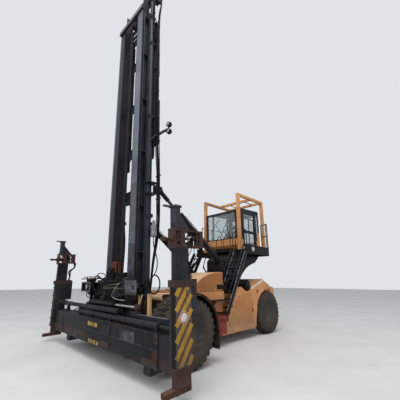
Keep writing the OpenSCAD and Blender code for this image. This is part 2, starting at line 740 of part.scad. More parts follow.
// Twin drive wheels, the outer rim dished inward and the inner one outward
module drive_tyres() car() {
  wheel_at(0, drive_out_y) tyre_ring();
  wheel_at(0, drive_in_y) tyre_ring();
}
module drive_rims() car() difference() {
  union() {
    wheel_at(0, drive_out_y) mirror([0, 0, 1]) rim_ring(120);
    wheel_at(0, drive_in_y) rim_ring(90);
    rod_y(0, tyre_r, drive_in_y + 20, drive_out_y - 60, 190);
  }
  rod_y(0, tyre_r, 1000, drive_out_y - 55, 105 + pin_gap);
}
module drive_tyres_L() color(body_tyre) drive_tyres();
module drive_rims_L() color(body_dark) drive_rims();
module drive_tyres_R() color(body_tyre) mirror([0, 1, 0]) drive_tyres();
module drive_rims_R() color(body_dark) mirror([0, 1, 0]) drive_rims();

// Rear cross members of the outer mast: height above the datum, height of the plate
outer_ties = [[60, 260], [3250, 300], [4600, 320], [6250, 300], [7950, 300], [9100, 260]];

module outer_mast() {
  // The web runs inside, the flanges stand outward and the lift barrel nests behind them
  web = rail_y - 120;
  color(body_dark) mast_frame() {
    both() {
      difference() {
        union() {
          linear_extrude(outer_top) polygon([[0, web], [108, web], [108, rail_y],
            [108 + rail_t, rail_y], [108 + rail_t, web], [rail_u - rail_t, web],
            [rail_u - rail_t, rail_y], [rail_u, rail_y], [rail_u, web - rail_t],
            [0, web - rail_t]]);
          block(0, rail_u, web - rail_t, web, rail_low, 10);
          block(0, rail_u, rail_y - rail_t, rail_y, rail_low, 40);
          // Ribs between the web and the foot plate
          for (w = [rail_low, 200 + rail_low, 5])
            block(0, rail_u, web - 1, rail_y - 1, w, w + 35);
        }
        rod_y(pivot_u, 0, web - rail_t - 5, rail_y + 1, mast_pin_r + pin_gap);
      }
      // Lift barrels with their foot and head clamps
      difference() {
        union() {
          rod_z(lift_u, lift_y, 760, 9550, lift_r);
          block(lift_u - 60, 109, web - 10, lift_y + 80, 740, 800);
          for (w = [2600, 5600, 8300, 9400])
            block(lift_u - 100, 109, web - 10, lift_y + 95, w, w + 90);
          // Clamp plates of the tilt cylinder brackets
          for (w = [tilt_ew - 170, tilt_ew + 140])
            block(-140, 138, web - 10, tilt_y + 80, w, w + 30);
        }
        rod_z(lift_u, lift_y, 860, 9560, lift_rod_r + 3);
      }
      // Tilt cylinder brackets
      for (y = [tilt_y - 80, tilt_y + 50])
        prism_y([[-110, tilt_ew - 170], [-110, tilt_ew + 170], [tilt_eu, tilt_ew + 70],
          [tilt_eu - 65, tilt_ew + 25], [tilt_eu - 65, tilt_ew - 30],
          [tilt_eu, tilt_ew - 70]], y, y + 30);
      rod_y(tilt_eu, tilt_ew, tilt_y - 90, tilt_y + 90, tilt_pin_r);
    }
    for (t = outer_ties)
      block(0, rail_t, -web + 10, web - 10, t[0], t[0] + t[1]);
    block(0, rail_t, -web + 10, web - 10, outer_top - 120, outer_top);
    // Anchors for the rear falls of the lift chains
    both() block(-60, 2, 180, 260, 9080, 9159.7);
    // Work lamp arm and two lamps on the left rail
    bar([30, lift_y + 84, 4850], [-440, 1000, 5300], 22);
    rod_z(-440, 1000, 5120, 5520, 22);
    for (w = [5210, 5440]) rod_x(1000, w, -500, -400, 78);
    // Accumulator can hung on the left rail
    rod_z(-60, 860, 2080, 2360, 75);
    rod_z(-60, 860, 2360, 2460, 40);
    block(-80, 60, lift_y + 60, 860, 2260, 2300);
  }
}

// Each tilt cylinder lies along the line from its anchor to the mast eye
module tilt_line() car() translate([tilt_ax, 0, tilt_az]) rotate([0, -tilt_ang, 0]) children();
module tilt_barrels() {
  color(body_black) tilt_line() both() difference() {
    union() {
      rod_y(0, 0, tilt_y - 88, tilt_y + 88, 75);
      rod_x(tilt_y, 0, 60, tilt_barrel_len, tilt_r);
      rod_x(tilt_y, 0, tilt_barrel_len - 90, tilt_barrel_len + 10, tilt_r + 10);
    }
    rod_y(0, 0, tilt_y - 90, tilt_y + 90, tilt_pin_r + pin_gap);
    rod_x(tilt_y, 0, 110, tilt_barrel_len + 20, tilt_rod_r + 3);
  }
}
module tilt_rods() {
  color(body_steel) tilt_line() both() difference() {
    union() {
      rod_x(tilt_y, 0, tilt_len - tilt_rod_len, tilt_len - 55, tilt_rod_r);
      rod_y(tilt_len, 0, tilt_y - 40, tilt_y + 40, 75);
    }
    rod_y(tilt_len, 0, tilt_y - 50, tilt_y + 50, tilt_pin_r + eye_play);
  }
}

module inner_mast() {
  color(body_dark) mast_frame() {
    y1 = rail_y - 155;
    y0 = y1 - rail_t;
    both() {
      translate([0, 0, rail_low + 50]) linear_extrude(inner_top - rail_low - 50)
        polygon([[45, y1], [inner_u1 - rail_t, y1], [inner_u1 - rail_t, rail_y],
          [inner_u1, rail_y], [inner_u1, y0 - 105], [inner_u1 - rail_t, y0 - 105],
          [inner_u1 - rail_t, y0], [45 + rail_t, y0], [45 + rail_t, y0 - 105],
          [45, y0 - 105]]);
      // Cheeks that carry the crosshead
      block(45, 280, y0, y1, inner_top - 5, head_w + 150);
      block(-60, 50, y0, y1, head_w, head_w + 150);
      // Sheave brackets and sheaves for the hoses
      block(-230, -40, rail_y - 60, rail_y - 30, head_w + 10, head_w + 430);
      rod_y(-160, head_w + 300, rail_y - 35, rail_y + 75, 40);
      rod_y(-160, head_w + 300, rail_y - 25, rail_y + 65, 190);
      // Lift rods
      rod_z(lift_u, lift_y, 9550 - mast_stroke - 500, head_w + 10, lift_rod_r);
    }
    block(-60, 110, -rail_y - 45, rail_y + 45, head_w, head_w + 150);
    // Front beam at the top and the rear ties
    block(inner_u1 - 10, inner_u1 + 60, -rail_y, rail_y + 40, inner_top - 260, inner_top - 110);
    block(45, 45 + rail_t, -y1 + 5, y1 - 5, inner_top - 200, inner_top);
    block(45, 45 + rail_t, -y1 + 5, y1 - 5, rail_low + 50, rail_low + 180);
    // Sheaves for the lift chains
    both() {
      rod_y(110, inner_top + 60, 170, 270, 140);
      block(95, 125, 140, 300, inner_top - 10, inner_top + 60);
    }
    rod_y(110, inner_top + 60, -y0, y0, 30);
  }
}

module lift_chains() {
  color(body_black) mast_frame() both() {
    // Front fall down to the carriage, and the short rear fall
    block(250.3, 262, 190, 250, 1225.3, inner_top + 60);
    block(-42, -30.3, 190, 250, inner_top - 640, inner_top + 60);
    difference() {
      rod_y(110, inner_top + 60, 190, 250, 152);
      rod_y(110, inner_top + 60, 189, 251, 140.3);
      block(-200, 400, 180, 260, inner_top - 200, inner_top + 60);
    }
  }
}

module carriage() {
  color(body_dark) mast_frame() {
    // Side plates, rollers and their shafts
    both() {
      block(110, 470, 370, 410, -200, 1230);
      for (w = [0, 1050]) {
        rod_y(roller_u, w, 430, 525, roller_u - 75 - roller_gap);
        rod_y(roller_u, w, 400, 435, 60);
      }
    }
    // Top plate with slots for the chains
    difference() {
      block(180, 470, -380, 380, 1200, 1225);
      both() block(225, 273, 178, 262, 1150, 1240);
    }
    // Front beams
    block(420, 470, -1450, 1450, 640, 1000);
    block(420, 470, -1100, 1100, -260, -60);
    both() {
      block(420, 470, 300, 420, -260, 1000);
      prism_y([[420, 1000], [470, 1000], [430, 1230], [420, 1230]], 300, 410);
      // Rail hangers and the slide rail
      for (y = [420, 1280]) block(468, 540, y, y + 50, 345, 700);
    }
    block(480, 540, -1340, 1340, 298, 350);
    // Side shift barrel
    difference() {
      union() {
        rod_y(shift_u, shift_w, -950, 350, shift_r);
        for (y = [-900, 240]) block(468, shift_u, y, y + 60, shift_w - 40, shift_w + 160);
      }
      rod_y(shift_u, shift_w, -890, 360, shift_rod_r + 3);
    }
    // Valve block, lamp box and hose anchors on the top beam
    block(400, 640, 880, 1180, 790, 960);
    block(440, 600, 1180, 1300, 820, 900);
    block(470, 560, -1440, -1300, 690, 960);
    block(440, 600, -1470, -1270, 960, 1080);
    block(430, 620, -700, -300, 1000, 1060);
    block(430, 560, 300, 760, 1000, 1050);
  }
}

// Hollow beam tube from y0 to y1, closed at the y0 end
module beam_tube(u0, u1, y0, y1) difference() {
  block(u0, u1, y0, y1, beam_w0, beam_w1);
  block(u0 + beam_t, u1 - beam_t, y0 + beam_t, y1 + 1, beam_w0 + beam_t, beam_w1 - beam_t);
}

// Slide pads inside the mouth of a beam tube
module mouth_pads(u0) {
  g = beam_t + pad_t;
  for (w = [beam_w0 + beam_t - 1, beam_w1 - beam_t - pad_t])
    block(u0 + 40, u0 + beam_d - 40, beam_near - 150, beam_near - 20, w, w + pad_t + 1);
  for (u = [u0 + beam_t - 1, u0 + beam_d - g])
    block(u, u + pad_t + 1, beam_near - 150, beam_near - 20, beam_w0 + 60, beam_w1 - 60);
}

module spreader_beam() {
  color(body_dark) mast_frame() {
    beam_tube(beam_u0, beam_u1, -beam_far, beam_near);
    mouth_pads(beam_u0);
    mirror([0, 1, 0]) {
      beam_tube(rear_u0, rear_u1, -beam_far, beam_near);
      mouth_pads(rear_u0);
    }
    // Ties between the tubes
    for (y = [-2300, -1200, 0, 1150, 2250])
      block(rear_u1 - 5, beam_u0 + 5, y, y + 80, beam_w0 + 20, beam_w1 - 20);
    // Hooks over the slide rail
    both() {
      block(rear_u0, rear_u0 + 110, 790, 950, beam_w1 - 5, 285);
      block(552, 600, 790, 950, beam_w1 - 5, 392);
      block(480, 600, 790, 950, 350.3, 392);
    }
    // Raised plates on the front face
    for (p = [[-2290, -2100, -180, 100], [-2290, -2100, -280, -190], [330, 720, -40, 150],
      [330, 720, -290, -170], [1950, 2400, -300, -200]])
      block(beam_u1 - 1, beam_u1 + 14, p[0], p[1], p[2], p[3]);
    block(beam_u0 - 8, beam_u1 + 8, beam_near - 60, beam_near, beam_w0 - 8, beam_w0 + 1);
    // Lower rubbing frame and its pads
    block(rear_u0 + 20, rear_u1 - 20, -2050, 2050, beam_w0 - 110, beam_w0 + 1);
    both() block(rear_u0 + 20, 800, 1850, 2050, beam_w0 - 195, beam_w0 + 1);
    // Extension barrels and their saddles
    difference() {
      union() {
        rod_y(ext_u, ext_l_w, -1200, 2350, ext_r);
        for (y = [-1180, 540, 2250])
          block(ext_u - 40, ext_u + 40, y, y + 70, beam_w1 - 2, ext_l_w);
      }
      rod_y(ext_u, ext_l_w, -1150, 2360, ext_rod_r + 3);
    }
    difference() {
      union() {
        rod_y(ext_u, ext_r_w, -2350, 900, ext_r - 5);
        for (y = [-2320, -1400, 800])
          block(ext_u - 110, ext_u - 40, y, y + 70, beam_w1 - 2, ext_r_w + 30);
        for (y = [-2320, -1400, 800])
          block(ext_u - 60, ext_u, y, y + 70, ext_r_w - 30, ext_r_w + 30);
      }
      rod_y(ext_u, ext_r_w, -2360, 850, ext_rod_r + 3);
    }
    // Side shift rod and its eye bracket
    rod_y(shift_u, shift_w, -500, 1290, shift_rod_r);
    block(shift_u - 45, shift_u + 45, 1270, 1350, beam_w1 - 2, shift_w + 60);
    // Upright marker bar
    block(640, 680, 1780, 1830, beam_w1 - 2, 780);
  }
}

// One arm: telescopic tube, end plate, post sleeve and its collars
module arm(u0, rod_w) {
  d = beam_d - 2 * beam_t - 2 * arm_gap;
  a0 = u0 + beam_t + arm_gap;
  w0 = beam_w0 + beam_t + arm_gap;
  w1 = beam_w1 - beam_t - arm_gap;
  u1 = beam_u1 + 10;
  difference() {
    block(a0, a0 + d, -2600, plate_y + 1, w0, w1);
    block(a0 + beam_t, a0 + d - beam_t, -2601, plate_y - 60, w0 + beam_t, w1 - beam_t);
  }
  // Slide pads at the inner end of the arm
  for (w = [w0 - pad_t, w1 - 1])
    block(a0 + 30, a0 + d - 30, -2590, -2470, w, w + pad_t + 1);
  for (u = [a0 - pad_t, a0 + d - 1])
    block(u, u + pad_t + 1, -2590, -2470, w0 + 50, w1 - 50);
  // End plate with its ear for the extension rod
  block(u0 - 2, u1, plate_y, plate_y + plate_t, beam_w0 + 10, beam_w1 + 15);
  block(ext_u - 70, u1, plate_y, plate_y + plate_t, beam_w1, rod_w + 55);
  // Ribs across to the sleeve
  for (u = [sleeve_u0 + 10, sleeve_u0 + 170])
    block(u, u + 30, plate_y + plate_t - 1, sleeve_y0 + 1, sleeve_w0 + 60, beam_w1 + 10);
  block(ext_u - 60, ext_u + 60, plate_y + plate_t - 1, sleeve_y0 + 1, 215, rod_w + 50);
  difference() {
    union() {
      block(sleeve_u0, sleeve_u1, sleeve_y0, sleeve_y1, sleeve_w0, sleeve_w1);
      block(sleeve_u0 - 125, sleeve_u1 + 30, sleeve_y0 - 10, sleeve_y1 + 12,
        sleeve_w1 - 110, sleeve_w1);
      block(sleeve_u0 - 12, sleeve_u1 + 12, sleeve_y0 - 10, sleeve_y1 + 12,
        sleeve_w0, sleeve_w0 + 65);
      // Box behind the sleeve
      block(sleeve_u0 - 160, sleeve_u0 + 5, sleeve_y0, sleeve_y1 - 40, 480, sleeve_w1 - 30);
    }
    block(sleeve_u0 + sleeve_t, sleeve_u1 - sleeve_t, sleeve_y0 + sleeve_t,
      sleeve_y1 - sleeve_t, sleeve_w0 - 1, sleeve_w1 + 1);
  }
  // Slide pads for the post at both ends of the sleeve
  for (w = [sleeve_w0 + 20, sleeve_w1 - 120]) {
    for (y = [sleeve_y0 + sleeve_t - 1, sleeve_y1 - sleeve_t - pad_t])
      block(sleeve_u0 + 70, sleeve_u1 - 70, y, y + pad_t + 1, w, w + 100);
    for (u = [sleeve_u0 + sleeve_t - 1, sleeve_u1 - sleeve_t - pad_t])
      block(u, u + pad_t + 1, sleeve_y0 + 45, sleeve_y1 - 45, w, w + 100);
  }
  // Extension rod
  rod_y(ext_u, rod_w, -800, plate_y + 5, ext_rod_r);
}
module arm_L() color(body_dark) mast_frame() arm(beam_u0, ext_l_w);
module arm_R() color(body_dark) mast_frame() mirror([0, 1, 0]) arm(rear_u0, ext_r_w);

// One sliding post: column, toe, lock head, upper post and cap; the head's rear end is given
module post(head_u0) {
  hy0 = post_y0 - 40;
  hy1 = post_y1 + 5;
  head_u1 = lock_tip_u - 200;
  difference() {
    block(post_u0, post_u1, post_y0, post_y1, post_w0, post_w1);
    block(post_u0 + 16, post_u1 - 16, post_y0 + 16, post_y1 - 16, post_w0 - 1, post_w1 - 40);
  }
  block(post_u1 - 2, 1178, post_y0 + 2, post_y1 - 2, post_w0 + 8, post_w0 + 80);
  // Lock head: two shelves, uprights, the front plate and the housing of the lock shaft
  difference() {
    union() {
      block(head_u0, head_u1, hy0, hy1, post_w1 - 5, post_w1 + 20);
      block(head_u0, head_u1, hy0, hy1, head_w1 - 25, head_w1);
      block(head_u1 - 40, head_u1, hy0 - 5, hy1 + 10, post_w1 - 25, head_w1 + 20);
      block(765, 870, hy0, hy1, post_w1, head_w1 - 10);
      block(head_u0, head_u0 + 90, hy0, hy1, post_w1, head_w1 - 10);
      rod_x(lock_y, lock_z, 860, head_u1 - 1, 52);
    }
    rod_x(lock_y, lock_z, 895, head_u1 + 10, lock_r + pin_gap);
    // Windows through the uprights
    block(764, 851, hy0 + 45, hy1 - 45, post_w1 + 60, head_w1 - 60);
    block(head_u0 - 1, head_u0 + 91, hy0 + 45, hy1 - 45, post_w1 + 60, head_w1 - 60);
  }
  // Upper post, cap and rear gusset
  block(865, 970, hy0 + 5, post_y1, head_w1 - 5, 2290);
  block(840, 985, hy0 - 5, post_y1 + 10, 2280, 2310);
  block(980, 1130, hy0, hy0 + 40, 2280, 2310);
  prism_y([[870, 2190], [600, head_w1 - 2], [870, head_w1 - 2]], lock_y - 25, lock_y + 25);
}
module post_L() color(body_dark) mast_frame() post(330);
module post_R() color(body_dark) mast_frame() mirror([0, 1, 0]) post(500);

// Lock shaft with its oblong head
module lock() {
  rod_x(lock_y, lock_z, 900, lock_tip_u - 55, lock_r);
  intersection() {
    rod_x(lock_y, lock_z, lock_tip_u - 60, lock_tip_u, lock_head_r);
    block(lock_tip_u - 70, lock_tip_u + 10, lock_y - 60, lock_y + 60, lock_z - lock_head_h,
      lock_z + lock_head_h);
  }
}
module lock_L() color(body_rust) mast_frame() lock();
module lock_R() color(body_rust) mast_frame() mirror([0, 1, 0]) lock();

main_frame();
drive_axle();
steer_axle();
counterweight();
engine_block();
rear_hood();
side_panels();
deck_hood();
fenders();
side_boxes();
air_cleaner();
cab_pedestal();
cab_platform();
access_ladder();
cab_shell();
cab_frame();
cab_glass();
cab_door();
door_glass();
cab_interior();
cab_guard();
knuckle_L();
knuckle_R();
steer_tyre_L();
steer_rim_L();
steer_tyre_R();
steer_rim_R();
drive_tyres_L();
drive_rims_L();
drive_tyres_R();
drive_rims_R();
outer_mast();
tilt_barrels();
tilt_rods();
inner_mast();
lift_chains();
carriage();
spreader_beam();
arm_L();
arm_R();
post_L();
post_R();
lock_L();
lock_R();
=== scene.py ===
import math
import random

import bmesh
import bpy
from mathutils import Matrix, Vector


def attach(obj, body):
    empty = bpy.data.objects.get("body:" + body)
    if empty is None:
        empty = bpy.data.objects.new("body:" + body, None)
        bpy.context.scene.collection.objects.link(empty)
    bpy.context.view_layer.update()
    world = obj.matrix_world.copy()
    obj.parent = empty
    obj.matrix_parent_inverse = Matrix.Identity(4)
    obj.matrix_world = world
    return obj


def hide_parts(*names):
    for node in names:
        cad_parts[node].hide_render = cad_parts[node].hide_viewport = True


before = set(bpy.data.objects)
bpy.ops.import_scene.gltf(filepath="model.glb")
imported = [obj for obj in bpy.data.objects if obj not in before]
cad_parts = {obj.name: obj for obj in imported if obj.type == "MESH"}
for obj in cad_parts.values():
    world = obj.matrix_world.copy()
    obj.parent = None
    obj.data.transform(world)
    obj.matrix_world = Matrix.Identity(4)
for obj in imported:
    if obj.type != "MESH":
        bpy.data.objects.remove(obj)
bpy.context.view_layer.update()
scene = bpy.context.scene
random.seed(4)

# The frame of the source: millimetres from the drive axle, and along the leaning mast
DX = 2059.161
LEAN = math.radians(2.9)
LS = math.sin(LEAN)
LC = math.cos(LEAN)


def car(p):
    """A point of the source, in metres of the shared frame."""
    return Vector(((p[0] + DX) / 1000, p[1] / 1000, p[2] / 1000))


def mast(p):
    """A point in the mast's own frame: u forward, y to the left, w up along it."""
    u, y, w = p
    return car((200 + u * LC + w * LS, y, 700 - u * LS + w * LC))


def linked(name, data):
    """A new object in the scene."""
    made = bpy.data.objects.new(name, data)
    scene.collection.objects.link(made)
    return made


def closed(mesh, merge=0.0):
    """Point all faces outwards, after points nearer than merge are joined."""
    bm = bmesh.new()
    bm.from_mesh(mesh)
    if merge:
        bmesh.ops.remove_doubles(bm, verts=bm.verts, dist=merge)
    bmesh.ops.recalc_face_normals(bm, faces=bm.faces)
    bm.to_mesh(mesh)
    bm.free()


# Camera at the photograph's place
cam_data = bpy.data.cameras.new("camera")
cam = linked("camera", cam_data)
scene.camera = cam
cam_data.lens = 22.5
cam_data.sensor_width = 36
cam_data.clip_end = 200
cam.location = (5.959161, 6.19, 1.70)
aim = Vector((-math.sqrt(0.5), -math.sqrt(0.5), math.tan(math.radians(18))))
cam.rotation_euler = aim.to_track_quat("-Z", "Y").to_euler()


# Material building
class Tree:
    """Short names for making and joining shader nodes."""

    def __init__(self, name, base):
        self.base = base
        self.mat = bpy.data.materials.new(name)
        self.mat.use_nodes = True
        self.nt = self.mat.node_tree
        self.nt.nodes.clear()
        self.out = self.node("ShaderNodeOutputMaterial")
        self.shader = self.node("ShaderNodeBsdfPrincipled")
        self.nt.links.new(self.shader.outputs[0], self.out.inputs[0])
        self.coord = self.node("ShaderNodeTexCoord").outputs["Object"]

    def put(self, value, socket):
        """Join a node's output to the socket, or set the socket's own value."""
        if hasattr(value, "is_output"):
            self.nt.links.new(value, socket)
        else:
            socket.default_value = value

    def node(self, kind, sockets=(), **settings):
        """A new node with its settings, and a value or a link for each socket named."""
        made = self.nt.nodes.new(kind)
        for key, value in settings.items():
            setattr(made, key, value)
        for key, value in dict(sockets).items():
            self.put(value, made.inputs[key])
        return made

    def scaled(self, sx, sy, sz, turn=(0, 0, 0)):
        sockets = {"Scale": (sx, sy, sz), "Rotation": turn, "Vector": self.coord}
        return self.node("ShaderNodeMapping", sockets).outputs[0]

    def noise(self, scale, detail=4.0, rough=0.55, at=None, distort=0.0):
        sockets = {"Vector": at or self.coord, "Scale": scale, "Detail": detail, "Roughness": rough,
                   "Distortion": distort}
        return self.node("ShaderNodeTexNoise", sockets).outputs["Fac"]

    def cells(self, scale):
        return self.node("ShaderNodeTexVoronoi", {"Vector": self.coord, "Scale": scale}).outputs["Distance"]

    def math(self, op, a, b, clamp=False):
        return self.node("ShaderNodeMath", {0: a, 1: b}, operation=op, use_clamp=clamp).outputs[0]

    def ramp(self, value, lo, hi, out_lo=0.0, out_hi=1.0):
        """Smooth steps from lo to hi, as out_lo to out_hi."""
        sockets = {"Value": value, "From Min": lo, "From Max": hi, "To Min": out_lo, "To Max": out_hi}
        return self.node("ShaderNodeMapRange", sockets, interpolation_type="SMOOTHSTEP").outputs[0]

    def mix(self, fac, a, b):
        """Colour a, and b where fac is 1; a plain colour is given from 0 to 255."""
        a, b = (v if hasattr(v, "is_output") else colour(v) for v in (a, b))
        return self.node("ShaderNodeMix", {0: fac, 6: a, 7: b}, data_type="RGBA").outputs[2]

    def times(self, a, b):
        return self.math("MULTIPLY", a, b)

    def over(self, fac, tone):
        """Lay a tone over the colour so far."""
        self.base = self.mix(fac, self.base, tone)

    def place(self):
        """X, Y and Z in metres."""
        return self.node("ShaderNodeSeparateXYZ", {0: self.coord}).outputs

    def edges(self, radius):
        """More than 0 near the edges of a shape."""
        b = self.node("ShaderNodeBevel", {"Radius": radius}, samples=3)
        g = self.node("ShaderNodeNewGeometry")
        sockets = {0: b.outputs[0], 1: g.outputs["Normal"]}
        d = self.node("ShaderNodeVectorMath", sockets, operation="DOT_PRODUCT")
        return self.math("SUBTRACT", 1.0, d.outputs["Value"], clamp=True)

    def up(self):
        """1 where a face looks up."""
        g = self.node("ShaderNodeNewGeometry")
        return self.node("ShaderNodeSeparateXYZ", {0: g.outputs["Normal"]}).outputs[2]

    def bump(self, height, strength, distance):
        b = self.node("ShaderNodeBump", {"Strength": strength, "Distance": distance, "Height": height})
        self.nt.links.new(b.outputs[0], self.shader.inputs["Normal"])

    def finish(self, rough, metallic=0.0, shine=0.5):
        for key, value in (("Specular IOR Level", shine), ("Base Color", self.base), ("Roughness", rough),
                           ("Metallic", metallic)):
            self.put(value, self.shader.inputs[key])
        return self.mat


def colour(c):
    """A screen colour, 0 to 255, as scene light."""
    if len(c) == 4:
        return c
    out = []
    for v in c:
        v = v / 255
        out.append(v / 12.92 if v <= 0.04045 else ((v + 0.055) / 1.055) ** 2.4)
    return (*out, 1.0)


def paint(name, base, pale, dark, dust=(150, 128, 102), rust=(78, 46, 30), rust_at=0.66, wear=0.7,
          wear_colour=(96, 84, 74), streak=0.3, dusty=0.3, rough=0.45, low=1.3, bump=0.25, bands=(),
          grime_from=None):
    """Worn paint: patchy tone, runs down the sides, dust that settles, chips and rust.

    low is the height in metres up to which the ground splashes, bands are (from, to, amount, tone)
    by height, and grime_from is the X in metres ahead of which the paint is oily.
    """
    t = Tree(name, base)
    patch = t.noise(1.3, 5, 0.6)
    grain = t.noise(34, 3, 0.6)
    run = t.noise(7.0, 4, 0.6, at=t.scaled(1.6, 1.6, 0.16))
    t.over(t.ramp(patch, 0.35, 0.7), pale)
    t.over(t.ramp(t.noise(0.55, 3), 0.42, 0.66, 0.0, 0.65), dark)
    t.over(t.ramp(run, 0.46, 0.74, 0.0, streak), dust)
    run_dark = t.noise(11.0, 4, 0.65, at=t.scaled(1.9, 1.9, 0.13, (0.02, 0.03, 0.5)))
    t.over(t.ramp(run_dark, 0.55, 0.78, 0.0, streak), dark)
    # Dust on the faces that look up, and splashes near the ground
    settle = t.times(t.ramp(t.up(), 0.25, 0.95), t.ramp(t.noise(3.1, 5), 0.25, 0.75, 0.25, dusty))
    t.over(settle, dust)
    near_ground = t.ramp(t.place()[2], 0.25, low, 0.8, 0.0)
    t.over(t.times(near_ground, t.ramp(t.noise(4.5, 6, 0.68), 0.36, 0.62)), dust)
    # Chips on edges and rust in spots
    edge = t.ramp(t.edges(0.011), 0.02, 0.22)
    t.over(t.times(edge, t.ramp(t.noise(16, 4, 0.7), 0.42, 0.62, 0.0, wear)), wear_colour)
    spot = t.ramp(t.noise(5.2, 7, 0.72, distort=0.4), rust_at, rust_at + 0.07)
    t.over(spot, rust)
    if grime_from is not None:
        front = t.ramp(t.place()[0], grime_from, grime_from + 0.35)
        t.over(t.times(front, t.ramp(t.noise(4.0, 5), 0.2, 0.6, 0.75, 0.98)), (26, 23, 22))
    # Bands by height: rust and wear on some paints, painted shade low down on the flange paint.
    for z0, z1, amount, tone in bands:
        z = t.place()[2]
        inside = t.times(t.ramp(z, z0 - 0.02, z0 + 0.02), t.ramp(z, z1 - 0.02, z1 + 0.02, 1.0, 0.0))
        wear_and_shade = t.ramp(t.noise(6.5, 6, 0.7, distort=0.3), 0.3, 0.62, amount * 0.55, amount)
        wear_and_shade_tone = t.mix(t.ramp(t.noise(13.0, 5, 0.7), 0.45, 0.7, 0.0, 0.6), tone, [v * 0.55 for v in tone])
        t.over(t.times(inside, wear_and_shade), wear_and_shade_tone)
    t.over(t.ramp(grain, 0.3, 0.8, 0.0, 0.16), dark)
    r = t.ramp(patch, 0.2, 0.8, rough - 0.1, rough + 0.12)
    r = t.math("ADD", r, t.times(settle, 0.35), clamp=True)
    r = t.math("ADD", r, t.times(spot, 0.3), clamp=True)
    h = t.math("ADD", t.times(grain, 0.25), t.times(t.noise(2.6, 3), 0.6))
    t.bump(t.math("SUBTRACT", h, t.times(spot, 0.3)), bump, 0.006)
    return t.finish(r, shine=0.2)


def rusted(name, base, pale, dark, rough=0.82):
    """Bare rusted steel with flakes and paler weathered patches."""
    t = Tree(name, base)
    a = t.noise(3.4, 7, 0.7, distort=0.3)
    b = t.noise(21, 5, 0.7)
    t.over(t.ramp(a, 0.35, 0.68), dark)
    t.over(t.ramp(b, 0.5, 0.75, 0.0, 0.8), pale)
    t.over(t.ramp(t.edges(0.01), 0.03, 0.3, 0.0, 0.5), pale)
    t.over(t.ramp(t.up(), 0.4, 0.95, 0.0, 0.35), (112, 98, 84))
    t.bump(t.math("ADD", a, t.times(b, 0.6)), 0.5, 0.006)
    return t.finish(t.ramp(a, 0.3, 0.8, rough - 0.12, rough + 0.1), shine=0.2)


def rubber(name, base, dust, amount, fine=1.0, scale=1.0):
    """Rubber or hose with dust in its texture."""
    t = Tree(name, base)
    a = t.noise(3.0 * scale, 6, 0.65)
    b = t.noise(42 * scale, 4, 0.6)
    t.over(t.ramp(a, 0.3, 0.72, amount * 0.45, amount), dust)
    t.over(t.ramp(b, 0.42, 0.7, 0.0, 0.4), base)
    t.bump(b, 0.25 * fine, 0.003)
    return t.finish(t.ramp(a, 0.2, 0.8, 0.62, 0.9), shine=0.15)


def bright(name, base, dark, rough=0.22, metallic=0.95):
    """Polished or machined steel with oil and haze."""
    t = Tree(name, base)
    a = t.noise(4.0, 5)
    b = t.noise(60, 2, at=t.scaled(1, 0.05, 1))
    t.over(t.ramp(a, 0.45, 0.75, 0.0, 0.7), dark)
    t.bump(b, 0.06, 0.001)
    return t.finish(t.ramp(t.math("ADD", a, b), 0.7, 1.4, rough, rough + 0.25), metallic)


def pane(name, tint, dust):
    """Clear pane with wiped dust and water marks."""
    t = Tree(name, tint)
    a = t.noise(5.0, 5, 0.6, at=t.scaled(1.0, 1.0, 0.35))
    t.over(t.ramp(a, 0.5, 0.75), dust)
    t.shader.inputs["Transmission Weight"].default_value = 0.9
    t.shader.inputs["IOR"].default_value = 1.45
    t.bump(t.noise(3, 1), 0.006, 0.001)
    return t.finish(t.ramp(a, 0.5, 0.85, 0.0, 0.12))


def lens(name, tint, glow):
    """Moulded lens over its reflector."""
    t = Tree(name, tint)
    a = t.cells(70)
    t.over(t.ramp(a, 0.1, 0.6), glow)
    t.shader.inputs["Transmission Weight"].default_value = 0.25
    t.shader.inputs["Coat Weight"].default_value = 0.6
    t.bump(a, 0.35, 0.003)
    return t.finish(t.ramp(a, 0.1, 0.7, 0.08, 0.2))


M = {}
M["peach"] = paint(
    "peach_paint", (202, 138, 84), (216, 160, 107), (166, 105, 61), rust=(112, 62, 36), rust_at=0.7,
    wear=0.5, wear_colour=(110, 82, 62), streak=0.2, dusty=0.4, rough=0.42, low=0.9)
M["frame"] = paint(
    "frame_peach", (178, 118, 72), (192, 138, 92), (140, 88, 54), dust=(132, 108, 84), rust=(104, 58, 34),
    wear=0.6, wear_colour=(100, 76, 58), dusty=0.4, rough=0.5, low=0.9, grime_from=1.9)
# Paler peach for the tops that catch the light: painted highlight.
M["highlight_peach"] = paint(
    "peach_painted_highlight", (214, 172, 130), (222, 186, 150), (196, 148, 104), dust=(178, 150, 122),
    rust=(120, 70, 42), rust_at=0.76, wear=0.3, streak=0.15, dusty=0.4, low=0.5)
M["head"] = paint(
    "head_bar_paint", (84, 90, 89), (104, 110, 108), (60, 65, 66), dust=(110, 112, 108), rust=(84, 60, 48),
    rust_at=0.68, streak=0.4, dusty=0.4, rough=0.55)
